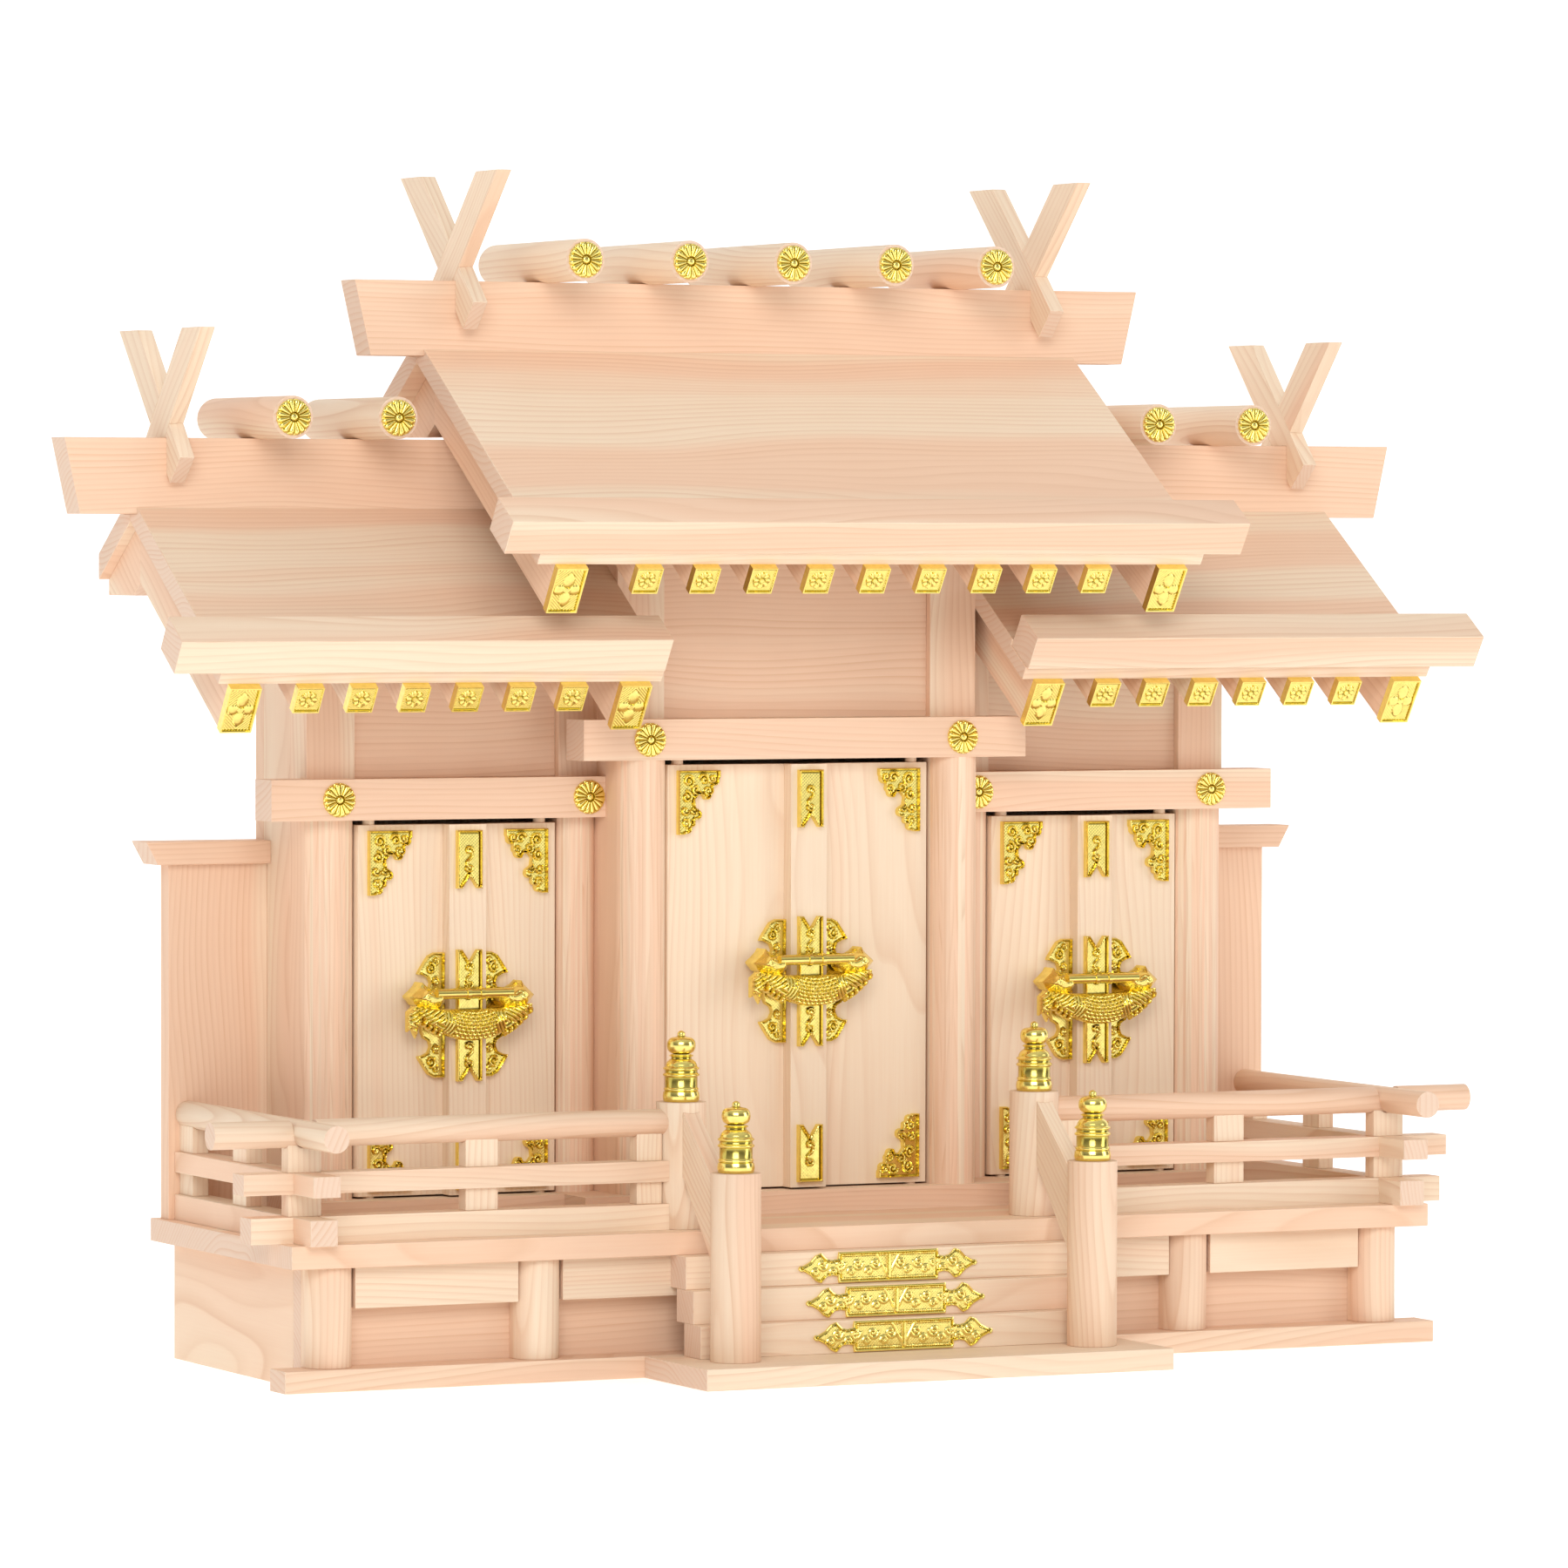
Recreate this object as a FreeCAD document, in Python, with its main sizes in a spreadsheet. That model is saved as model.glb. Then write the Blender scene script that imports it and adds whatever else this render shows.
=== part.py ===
import FreeCAD, Part
import Sketcher
import math
import os
import re

# A kamidana: a wooden household shrine with three cells under staggered
# gabled roofs, on a raised deck with a stair and railings.
# Millimetres. Z is up, X runs along the front, and the front faces -Y.
# Distances along Y are measured from the front edge of the deck, heights from the floor.

FLAT_TURN = 90
FIRST_ROW = 1
START = 1
END = 2
ROUGH_RADIUS = 100
LEFT = -1
RIGHT = 1
FINIAL_BANDS = 3
CENTRE_RAFTERS = 5
SIDE_RAFTERS = 6
CENTRE_LOGS = 3
SIDE_LOGS = 2
LOBE_SHARES = (-0.36, 0.36)

# Deck and base
DECK_OVER = 3.3
DECK_DEPTH = 172
DECK_TOP = 65.9
DECK_THICK = 10.6
SILL_OVER = 3.2
SILL_DEPTH = 18
SILL_TOP = 10
BASE_IN = 11.8
BASE_WALL = 9
BASE_POST_RADIUS = 11
BASE_POST_SHANK = 4
INNER_POST_X = 167
UPPER_BOARD_HIGH = 19
UPPER_BOARD_FRONT = 7.5

# Landing and steps
LANDING_SIDE = 27.6
LANDING_NOSE = 28.4
LANDING_TOP = 9.9
STEP_SIDE = 11.3
STEP_DEPTH = 18
STEP_NOSE = 9.1
STEP_RUN = 8
STEP_COUNT = 3
PLATE_HALF = 45.6
PLATE_POINT = 7
PLATE_HIGH = 14
PLATE_THICK = 1.4

# Stair posts, handrails and finials
STAIR_X = 91
STAIR_RADIUS = 11.5
LOW_POST_FREE = 1.4
LOW_POST_HIGH = 85.4
HIGH_POST_Y = 20.5
HIGH_POST_HIGH = 58
HAND_THICK = 8
HAND_BITE = 3
HAND_HIGH_DROP = 2.4
HAND_HIGH_WIDE = 29.2
HAND_LOW_DROP = 11.3
HAND_LOW_WIDE = 41
FINIAL_RADIUS = 8.1
FINIAL_RING = 0.4
FINIAL_FOOT = 4.5
FINIAL_BARREL = 17.5
FINIAL_NECK_RADIUS = 5.2
FINIAL_NECK = 21
FINIAL_ONION = 7
FINIAL_ONION_HIGH = 4.6
FINIAL_TIP = 30.8
FINIAL_NUB = 1.8
FINIAL_BAND = 1.2
FINIAL_BAND_STEP = 3.6

# Railings
RAIL_RADIUS = 6.2
RAIL_RISE = 48.8
RAIL_IN = 12.8
FRONT_RAIL_Y = 20
TOP_RAIL_END = 44
TOP_RAIL_OUT = 21.5
SQUARE_RAIL = 13.1
MID_RAIL_RISE = 22
MID_RAIL_HIGH = 9.5
MID_RAIL_END = 30.4
MID_RAIL_OUT = 10.4
LOW_RAIL_HIGH = 11.8
LOW_RAIL_END = 26.9
LOW_RAIL_OUT = 7
STRUT_WIDE = 16
STRUT_THIN = 8
STRUT_MID_X = 192.5
STRUT_END_X = 109
STRUT_END_WIDE = 12.6
STRUT_SIDE_Y = 84

# Wing walls
WING_WIDE = 49.2
WING_IN = 14.5
WING_THICK = 10
WING_HIGH = 164.4
CAP_HIGH = 10.7
CAP_OVER = 4.5
CAP_TAIL_LOW = 6.9
CAP_TAIL_TOP = 12.8

# Cells
POST_WIDE = 23.8
POST_DEEP = 20
CELL_WALL = 10
FLOOR_OUT = 2
FLOOR_SIDE = 12.9
CENTRE_FRONT = 86.5
CENTRE_HALF = 69.3
CENTRE_DOORWAY_HIGH = 202
HEADER_END = 21.8
SIDE_FRONT = 110
INNER_POST = 19.4
SIDE_HALF = 51.5
SIDE_DOORWAY_HIGH = 175.1
SIDE_HEADER_END = 21.6
HEADER_OUT = 10.3
HEADER_DEEP = 19.6
HEADER_HIGH = 19
PANEL_BACK = 4
PANEL_THICK = 8
FLOWER_OUT = 12
FLOWER_FREE = 0.5
FLOWER_RADIUS = 8
FLOWER_THICK = 2

# Roofs
ROOF_ANGLE = 34
ROOF_THICK = 10
RIDGE_HALF = 8.6
RIDGE_SINK = 3
RIDGE_HIGH = 35
BACK_RUN = 38
BAR_WIDE = 20
BAR_HIGH = 14.3
BAR_SEAT = 3.2
BAR_OVER = 1.5
RAFTER_OUT = 21
RAFTER_WIDE = 12.2
RAFTER_HIGH = 13
BARGE_WIDE = 14.5
BARGE_HIGH = 23.6
RAFTER_CAP = 1.5
CENTRE_RIDGE_IN = 56.9
CENTRE_ROOF_RISE = 190.5
CENTRE_BAR = 144.5
CENTRE_VERGE = 77.2
CENTRE_BAR_END = 18.5
CENTRE_RIDGE_END = 34.7
CENTRE_RIDGE_RAKE = 8
CENTRE_BARGE_IN = 16.4
CENTRE_PITCH = 28.8
SIDE_RIDGE_IN = 36.5
SIDE_ROOF_RISE = 143.5
SIDE_BAR = 108.6
SIDE_VERGE = 72.5
SIDE_BAR_FREE = 0.5
SIDE_BAR_END = 23.2
SIDE_RIDGE_END = 35.3
SIDE_RIDGE_RAKE = 7.6
SIDE_BARGE_EDGE = 12.3
SIDE_BARGE_FREE = 13.6
SIDE_RAFTER_FREE = 31
SIDE_PITCH = 26.04

# Ridge logs and forked finials
LOG_RADIUS = 9.8
LOG_SINK = 0.4
DISC_RADIUS = 8.5
CENTRE_LOG_HALF = 50.5
CENTRE_LOG_PITCH = 53.5
SIDE_LOG_HALF = 47
SIDE_LOG_IN = 105.2
SIDE_LOG_PITCH = 52
FORK_THICK = 7.3
FORK_WIDE = 17.5
FORK_RISE = 50
FORK_CROSS = 6.5
CENTRE_FORK_IN = 19.55
CENTRE_FORK_ANGLE = 44.5
CENTRE_FORK_LEG = 33
SIDE_FORK_IN = 18.05
SIDE_FORK_ANGLE = 48
SIDE_FORK_LEG = 29

# Doors
LEAF_THICK = 9
LEAF_GAP = 0.9
LEAF_HEAD = 2.5
SEAM_GAP = 0.4
PIN_IN = 8.4
PIN_BACK = 3.6
PIN_RADIUS = 2.8
PIN_FIT = 0.08
PIN_LONG = 5
PIN_END = 0.6
BATTEN_LEFT = 7.3
BATTEN_RIGHT = 11.3
BATTEN_THICK = 8
BATTEN_FREE = 0.3
GILT_THICK = 3.5
CORNER_IN = 5.5
CORNER_EDGE = 2.6
CORNER_WIDE = 21.5
CORNER_HIGH = 30
CORNER_BAND = 8.5
CORNER_LOBE = 4.2
CORNER_KNEE = 6.3
STRIP_PLATE = 12.4
STRIP_END = 27
STRIP_MID = 61
WING_PLATE = 9.5
WING_PLATE_HIGH = 58
WING_LOBE = 4
FISH_DROP = 2.5
LOCK_HALF = 33
LOCK_THICK = 7.6
LOCK_BAR = 2.2
LOCK_RISE = 10.5
LOCK_BELLY = 11.5
LOCK_BODY = 14
LOCK_END_WIDE = 17
LOCK_END_HIGH = 11
LOCK_FREE = 0.4

doc = FreeCAD.newDocument("Kamidana")
sizes = doc.addObject("Spreadsheet::Sheet", "Sizes")
layout = doc.addObject("Spreadsheet::Sheet", "Layout")
home_sheet = {}
next_row = {sizes: FIRST_ROW, layout: FIRST_ROW}
nodes = []


def full(formula):
    """Write the sheet's name before each named value in a formula."""
    def with_sheet(found):
        word = found.group(0)
        return f"{home_sheet[word]}.{word}" if word in home_sheet else word
    return re.sub(r"[a-z][a-z_]*", with_sheet, str(formula))


def put(sheet, word, content, meaning):
    """Give a sheet one more named row."""
    row = next_row[sheet]
    next_row[sheet] = row + 1
    sheet.set(f"A{row}", meaning)
    sheet.set(f"B{row}", content)
    sheet.setAlias(f"B{row}", word)
    home_sheet[word] = sheet.Name


def size(word, value, meaning):
    """State one independent size."""
    put(sizes, word, str(value), meaning)


def derive(word, formula, meaning):
    """State a size that follows from others."""
    put(layout, word, "=" + full(formula), meaning)


# Deck and base
size("deck_over", DECK_OVER, "reach of the deck beyond the wing walls")
size("deck_depth", DECK_DEPTH, "depth of the deck board")
size("deck_top", DECK_TOP, "top of the deck board")
size("deck_thick", DECK_THICK, "thickness of the deck and floor boards")
size("sill_over", SILL_OVER, "reach of the front sill beyond the deck's sides")
size("sill_depth", SILL_DEPTH, "depth of the front sill")
size("sill_top", SILL_TOP, "top of the front sill")
size("base_in", BASE_IN, "set-back of the base's sides under the deck")
size("base_wall", BASE_WALL, "thickness of the base boards")
size("base_post_radius", BASE_POST_RADIUS, "radius of the round face of a base post")
size("base_post_shank", BASE_POST_SHANK, "straight part behind the round face")
size("inner_post_x", INNER_POST_X, "place of the inner base posts")
size("upper_board_high", UPPER_BOARD_HIGH, "height of the boards under the deck edge")
size("upper_board_front", UPPER_BOARD_FRONT, "front face of the boards under the deck edge")

# Landing and steps
size("landing_side", LANDING_SIDE, "reach of the landing board beyond the stair posts' middles")
size("landing_nose", LANDING_NOSE, "reach of the landing board before the lower posts' middles")
size("landing_top", LANDING_TOP, "top of the landing board")
size("step_side", STEP_SIDE, "reach of the steps beyond the stair posts' middles")
size("step_depth", STEP_DEPTH, "depth of a step")
size("step_nose", STEP_NOSE, "reach of the top step before the deck")
size("step_run", STEP_RUN, "set-back from one step to the next")
size("step_count", STEP_COUNT, "number of steps")
size("plate_half", PLATE_HALF, "half the length of a step plate")
size("plate_point", PLATE_POINT, "length of a step plate's pointed end")
size("plate_high", PLATE_HIGH, "height of a step plate")
size("plate_thick", PLATE_THICK, "thickness of a step plate")

# Stair posts, handrails and finials
size("stair_x", STAIR_X, "place of the stair posts")
size("stair_radius", STAIR_RADIUS, "radius of a stair post")
size("low_post_free", LOW_POST_FREE, "gap between a lower post and the lowest step")
size("low_post_high", LOW_POST_HIGH, "height of the lower posts")
size("high_post_y", HIGH_POST_Y, "place of the upper posts")
size("high_post_high", HIGH_POST_HIGH, "height of the upper posts")
size("hand_thick", HAND_THICK, "thickness of a handrail board")
size("hand_bite", HAND_BITE, "depth of a handrail board in a post")
size("hand_high_drop", HAND_HIGH_DROP, "distance of the handrail below the top of the upper post")
size("hand_high_wide", HAND_HIGH_WIDE, "upright width of the handrail at the upper post")
size("hand_low_drop", HAND_LOW_DROP, "distance of the handrail below the top of the lower post")
size("hand_low_wide", HAND_LOW_WIDE, "upright width of the handrail at the lower post")
size("finial_radius", FINIAL_RADIUS, "radius of a finial's barrel")
size("finial_ring", FINIAL_RING, "swell of a finial's rings")
size("finial_foot", FINIAL_FOOT, "height of a finial's foot ring")
size("finial_barrel", FINIAL_BARREL, "height of a finial's shoulder")
size("finial_neck_radius", FINIAL_NECK_RADIUS, "radius of a finial's neck")
size("finial_neck", FINIAL_NECK, "height of a finial's neck")
size("finial_onion", FINIAL_ONION, "radius of a finial's onion")
size("finial_onion_high", FINIAL_ONION_HIGH, "half the height of a finial's onion")
size("finial_tip", FINIAL_TIP, "height of the centre of a finial's nub")
size("finial_nub", FINIAL_NUB, "radius of a finial's nub")
size("finial_band", FINIAL_BAND, "height of one raised band")
size("finial_band_step", FINIAL_BAND_STEP, "distance between raised bands")

# Railings
size("rail_radius", RAIL_RADIUS, "radius of the round top rails")
size("rail_rise", RAIL_RISE, "height of the top rails' centre above the deck")
size("rail_in", RAIL_IN, "distance of the side rails from the deck's sides")
size("front_rail_y", FRONT_RAIL_Y, "place of the front rails")
size("top_rail_end", TOP_RAIL_END, "reach of the front top rail beyond the side rails")
size("top_rail_out", TOP_RAIL_OUT, "reach of the side top rail before the deck")
size("square_rail", SQUARE_RAIL, "width of the square rails")
size("mid_rail_rise", MID_RAIL_RISE, "height of the middle rails' underside above the deck")
size("mid_rail_high", MID_RAIL_HIGH, "height of the middle rails")
size("mid_rail_end", MID_RAIL_END, "reach of the front middle rail beyond the side rails")
size("mid_rail_out", MID_RAIL_OUT, "reach of the side middle rail before the deck")
size("low_rail_high", LOW_RAIL_HIGH, "height of the bottom rails")
size("low_rail_end", LOW_RAIL_END, "reach of the front bottom rail beyond the side rails")
size("low_rail_out", LOW_RAIL_OUT, "reach of the side bottom rail before the deck")
size("strut_wide", STRUT_WIDE, "long side of a strut")
size("strut_thin", STRUT_THIN, "short side of a strut")
size("strut_mid_x", STRUT_MID_X, "place of the middle strut of a front run")
size("strut_end_x", STRUT_END_X, "place of the strut beside the stair post")
size("strut_end_wide", STRUT_END_WIDE, "width of the strut beside the stair post")
size("strut_side_y", STRUT_SIDE_Y, "place of the middle strut of a side run")

# Wing walls
size("wing_wide", WING_WIDE, "width of a wing wall")
size("wing_in", WING_IN, "distance of a wing wall's face from the deck's rear edge")
size("wing_thick", WING_THICK, "thickness of a wing wall")
size("wing_high", WING_HIGH, "height of a wing wall")
size("cap_high", CAP_HIGH, "height of a wing cap")
size("cap_over", CAP_OVER, "overhang of a wing cap")
size("cap_tail_low", CAP_TAIL_LOW, "reach of a wing cap's underside beyond the wing wall")
size("cap_tail_top", CAP_TAIL_TOP, "reach of a wing cap's top beyond the wing wall")

# Cells
size("post_wide", POST_WIDE, "width of a cell's corner post")
size("post_deep", POST_DEEP, "depth of a cell's corner post")
size("cell_wall", CELL_WALL, "thickness of the cells' side and back boards")
size("floor_out", FLOOR_OUT, "reach of a cell's floor before its posts")
size("floor_side", FLOOR_SIDE, "reach of the centre floor beyond its posts")
size("centre_front", CENTRE_FRONT, "front face of the centre cell's posts")
size("centre_half", CENTRE_HALF, "half the doorway of the centre cell")
size("centre_doorway_high", CENTRE_DOORWAY_HIGH, "height of the centre doorway")
size("header_end", HEADER_END, "reach of the centre header beyond its posts")
size("side_front", SIDE_FRONT, "front face of a side cell's posts")
size("inner_post", INNER_POST, "width of a side cell's inner post")
size("side_half", SIDE_HALF, "half the doorway of a side cell")
size("side_doorway_high", SIDE_DOORWAY_HIGH, "height of a side doorway")
size("side_header_end", SIDE_HEADER_END, "reach of a side header beyond its outer post")
size("header_out", HEADER_OUT, "reach of a header before the posts")
size("header_deep", HEADER_DEEP, "depth of a header")
size("header_high", HEADER_HIGH, "height of a header")
size("panel_back", PANEL_BACK, "set-back of an upper panel")
size("panel_thick", PANEL_THICK, "thickness of an upper panel")
size("flower_out", FLOWER_OUT, "distance of a header flower beyond the doorway")
size("flower_free", FLOWER_FREE, "gap between a flower and the centre post beside it")
size("flower_radius", FLOWER_RADIUS, "radius of a gilt flower")
size("flower_thick", FLOWER_THICK, "thickness of a gilt flower")

# Roofs
size("roof_angle", ROOF_ANGLE, "pitch of all roofs in degrees")
size("roof_thick", ROOF_THICK, "thickness of the roof boards")
size("ridge_half", RIDGE_HALF, "half the thickness of a ridge board")
size("ridge_sink", RIDGE_SINK, "depth of a ridge board between the roof boards")
size("ridge_high", RIDGE_HIGH, "height of a ridge board")
size("back_run", BACK_RUN, "length of the back slope")
size("bar_wide", BAR_WIDE, "width of an eave bar along the slope")
size("bar_high", BAR_HIGH, "height of an eave bar above the roof board")
size("bar_seat", BAR_SEAT, "depth of the rebate under an eave bar")
size("bar_over", BAR_OVER, "reach of an eave bar beyond the roof board")
size("rafter_out", RAFTER_OUT, "reach of the rafters beyond an eave bar's back")
size("rafter_wide", RAFTER_WIDE, "width of a small rafter")
size("rafter_high", RAFTER_HIGH, "depth of a small rafter")
size("barge_wide", BARGE_WIDE, "width of an end rafter")
size("barge_high", BARGE_HIGH, "depth of an end rafter")
size("rafter_cap", RAFTER_CAP, "thickness of a rafter cap")
size("centre_ridge_in", CENTRE_RIDGE_IN, "distance of the centre ridge behind the posts' plane")
size("centre_roof_rise", CENTRE_ROOF_RISE, "rise from the centre header to the top of the centre slope")
size("centre_bar", CENTRE_BAR, "slope length above the centre eave bar")
size("centre_verge", CENTRE_VERGE, "reach of the centre roof beyond the posts")
size("centre_bar_end", CENTRE_BAR_END, "reach of the centre eave bar beyond the roof board")
size("centre_ridge_end", CENTRE_RIDGE_END, "reach of the centre ridge board beyond the roof boards")
size("centre_ridge_rake", CENTRE_RIDGE_RAKE, "slant of the centre ridge board's ends")
size("centre_barge_in", CENTRE_BARGE_IN, "distance of the centre end rafters from the roof's edge")
size("centre_pitch", CENTRE_PITCH, "distance between the centre roof's rafters")
size("side_ridge_in", SIDE_RIDGE_IN, "distance of a side ridge behind the posts' plane")
size("side_roof_rise", SIDE_ROOF_RISE, "rise from a side header to the top of a side slope")
size("side_bar", SIDE_BAR, "slope length above a side eave bar")
size("side_verge", SIDE_VERGE, "reach of a side roof beyond the outer post")
size("side_bar_free", SIDE_BAR_FREE, "gap between a side eave bar and the centre posts")
size("side_bar_end", SIDE_BAR_END, "reach of a side eave bar beyond the roof board")
size("side_ridge_end", SIDE_RIDGE_END, "reach of a side ridge board beyond the roof boards")
size("side_ridge_rake", SIDE_RIDGE_RAKE, "slant of a side ridge board's end")
size("side_barge_edge", SIDE_BARGE_EDGE, "distance of a side roof's outer end rafter from its edge")
size("side_barge_free", SIDE_BARGE_FREE, "distance of a side roof's inner end rafter from the centre posts")
size("side_rafter_free", SIDE_RAFTER_FREE, "distance from the inner end rafter to the first small rafter")
size("side_pitch", SIDE_PITCH, "distance between a side roof's small rafters")

# Ridge logs and forked finials
size("log_radius", LOG_RADIUS, "radius of a ridge log")
size("log_sink", LOG_SINK, "depth of a log's saddle on the ridge board")
size("disc_radius", DISC_RADIUS, "radius of a log's gilt disc")
size("centre_log_half", CENTRE_LOG_HALF, "half the length of a centre ridge log")
size("centre_log_pitch", CENTRE_LOG_PITCH, "distance between the centre ridge logs")
size("side_log_half", SIDE_LOG_HALF, "half the length of a side ridge log")
size("side_log_in", SIDE_LOG_IN, "distance of a side roof's inner log from the centre posts")
size("side_log_pitch", SIDE_LOG_PITCH, "distance between a side roof's logs")
size("fork_thick", FORK_THICK, "thickness of a fork board")
size("fork_wide", FORK_WIDE, "width of a fork board")
size("fork_rise", FORK_RISE, "height of the fork tips above the ridge board")
size("fork_cross", FORK_CROSS, "height of the crossing above the ridge board")
size("centre_fork_in", CENTRE_FORK_IN, "distance of the centre forks from the roof's edge")
size("centre_fork_angle", CENTRE_FORK_ANGLE, "slant of the centre forks in degrees")
size("centre_fork_leg", CENTRE_FORK_LEG, "length of a centre fork's leg below the crossing")
size("side_fork_in", SIDE_FORK_IN, "distance of the side forks from the roof's edge")
size("side_fork_angle", SIDE_FORK_ANGLE, "slant of the side forks in degrees")
size("side_fork_leg", SIDE_FORK_LEG, "length of a side fork's leg below the crossing")

# Doors
size("leaf_thick", LEAF_THICK, "thickness of a door leaf")
size("leaf_gap", LEAF_GAP, "gap beside and below a leaf")
size("leaf_head", LEAF_HEAD, "gap above a leaf")
size("seam_gap", SEAM_GAP, "half the gap between two leaves")
size("pin_in", PIN_IN, "distance of a pivot pin from the post")
size("pin_back", PIN_BACK, "distance of a pivot pin behind the leaf's face")
size("pin_radius", PIN_RADIUS, "radius of a pivot pin")
size("pin_fit", PIN_FIT, "running clearance around a pivot pin")
size("pin_long", PIN_LONG, "depth of a pivot pin in its hole")
size("pin_end", PIN_END, "free depth beyond a pivot pin")
size("batten_left", BATTEN_LEFT, "reach of the cover strip left of the seam")
size("batten_right", BATTEN_RIGHT, "reach of the cover strip right of the seam")
size("batten_thick", BATTEN_THICK, "thickness of the cover strip")
size("batten_free", BATTEN_FREE, "gap between the cover strip and the right leaf")
size("gilt_thick", GILT_THICK, "thickness of a gilt door plate")
size("corner_in", CORNER_IN, "distance of a corner plate from the leaf's edge")
size("corner_edge", CORNER_EDGE, "distance of the plates from a leaf's ends")
size("corner_wide", CORNER_WIDE, "width of a corner plate")
size("corner_high", CORNER_HIGH, "height of a corner plate")
size("corner_band", CORNER_BAND, "width of a corner plate's arms")
size("corner_lobe", CORNER_LOBE, "radius of a corner plate's end lobes")
size("corner_knee", CORNER_KNEE, "radius of a corner plate's inner lobe")
size("strip_plate", STRIP_PLATE, "width of the plates on the cover strip")
size("strip_end", STRIP_END, "height of the upper and lower strip plates")
size("strip_mid", STRIP_MID, "height of the middle strip plate")
size("wing_plate", WING_PLATE, "width of the plates beside the cover strip")
size("wing_plate_high", WING_PLATE_HIGH, "height of the plates beside the cover strip")
size("wing_lobe", WING_LOBE, "radius of those plates' side lobes")
size("fish_drop", FISH_DROP, "drop of the lock's middle below the leaf's middle")
size("lock_half", LOCK_HALF, "half the length of the fish lock")
size("lock_thick", LOCK_THICK, "thickness of the fish lock")
size("lock_bar", LOCK_BAR, "radius of the lock's bar")
size("lock_rise", LOCK_RISE, "height of the bar above the lock's middle")
size("lock_belly", LOCK_BELLY, "depth of the lock's belly below its middle")
size("lock_body", LOCK_BODY, "height of the lock's belly")
size("lock_end_wide", LOCK_END_WIDE, "width of a lock's end block")
size("lock_end_high", LOCK_END_HIGH, "height of a lock's end block")
size("lock_free", LOCK_FREE, "gap between an end block and the door plates")

# Values that follow
derive("roof_tan", "tan(roof_angle)", "rise of the roofs over one millimetre")
derive("roof_cos", "cos(roof_angle)", "level length of one millimetre of slope")
derive("roof_sin", "sin(roof_angle)", "rise of one millimetre of slope")
derive("centre_reach", "(fork_rise - fork_cross) / tan(centre_fork_angle) + fork_wide / (2 * sin(centre_fork_angle))",
       "reach of a centre fork's tip")
derive("deck_low", "deck_top - deck_thick", "underside of the deck board")
derive("base_post_y", "sill_depth - base_post_shank", "centre of the base posts' round faces")
derive("step_high", "(deck_low - landing_top) / step_count", "height of one step")
derive("floor_top", "deck_top + deck_thick", "top of the cells' floors")
derive("cell_back", "deck_depth - cell_wall", "inner face of the back boards")
derive("centre_out", "centre_half + post_wide", "outer face of the centre cell's posts")
derive("centre_floor", "centre_out + floor_side", "half the width of the centre floor")
derive("side_mid", "centre_out + inner_post + side_half", "middle of a side cell")
derive("side_in", "side_mid - side_half", "inner side of a side doorway")
derive("side_doorway", "side_mid + side_half", "outer side of a side doorway")
derive("side_out", "side_doorway + post_wide", "outer face of a side cell's outer posts")
derive("wing_out", "side_out + wing_wide", "outer edge of a wing wall")
derive("deck_half", "wing_out + deck_over", "half the width of the deck board")
derive("base_half", "deck_half - base_in", "half the width of the base")
derive("outer_post_x", "base_half - base_post_radius", "place of the outer base posts")
derive("sill_half", "deck_half + sill_over", "half the length of the front sill")
derive("cap_end_low", "wing_out + cap_tail_low", "outer end of a wing cap's underside")
derive("cap_end_top", "wing_out + cap_tail_top", "outer end of a wing cap's top")
derive("wing_front", "deck_depth - wing_in", "front face of a wing wall")
derive("rail_back", "wing_front", "rear end of the side rails")
derive("wing_top", "deck_top + wing_high", "top of a wing wall")
derive("landing_half", "stair_x + landing_side", "half the width of the landing board")
derive("step_half", "stair_x + step_side", "half the length of a step")
derive("low_post_y", "-(step_nose + step_run * (step_count - 1)) - stair_radius - low_post_free",
       "place of the lower posts")
derive("landing_out", "landing_nose - low_post_y", "reach of the landing board before the deck")
derive("low_post_top", "landing_top + low_post_high", "top of the lower posts")
derive("high_post_top", "deck_top + high_post_high", "top of the upper posts")
derive("hand_high_top", "high_post_top - hand_high_drop", "upper edge of the handrail at the upper post")
derive("hand_high_low", "hand_high_top - hand_high_wide", "lower edge of the handrail at the upper post")
derive("hand_low_top", "low_post_top - hand_low_drop", "upper edge of the handrail at the lower post")
derive("hand_low_low", "hand_low_top - hand_low_wide", "lower edge of the handrail at the lower post")
derive("rail_height", "deck_top + rail_rise", "height of the top rails' centre")
derive("mid_rail_low", "deck_top + mid_rail_rise", "underside of the middle rails")
derive("side_rail_x", "deck_half - rail_in", "place of the side rails")
derive("top_rail_half", "side_rail_x + top_rail_end", "reach of the front top rail")
derive("mid_rail_half", "side_rail_x + mid_rail_end", "reach of the front middle rail")
derive("low_rail_half", "side_rail_x + low_rail_end", "reach of the front bottom rail")
derive("centre_lintel", "floor_top + centre_doorway_high", "underside of the centre cell's header")
derive("side_lintel", "floor_top + side_doorway_high", "underside of a side cell's header")
derive("centre_foot", "centre_lintel + centre_roof_rise",
       "height where the centre slope meets its ridge board")
derive("centre_crest", "centre_foot - ridge_sink + ridge_high", "top of the centre ridge board")
derive("side_foot", "side_lintel + side_roof_rise", "height where a side slope meets its ridge board")
derive("side_crest", "side_foot - ridge_sink + ridge_high", "top of a side ridge board")
derive("centre_ridge_y", "centre_front + centre_ridge_in", "middle of the centre ridge board")
derive("deck_front", "(landing_out - centre_ridge_y - centre_reach) / 2",
       "front edge of the deck from the middle of the whole shrine")
derive("side_ridge_y", "side_front + side_ridge_in", "middle of a side ridge board")
derive("centre_header", "centre_out + header_end", "half the length of the centre header")
derive("side_header", "side_out + side_header_end", "outer end of a side header")
derive("centre_board", "centre_out + centre_verge", "half the width of the centre roof")
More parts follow.
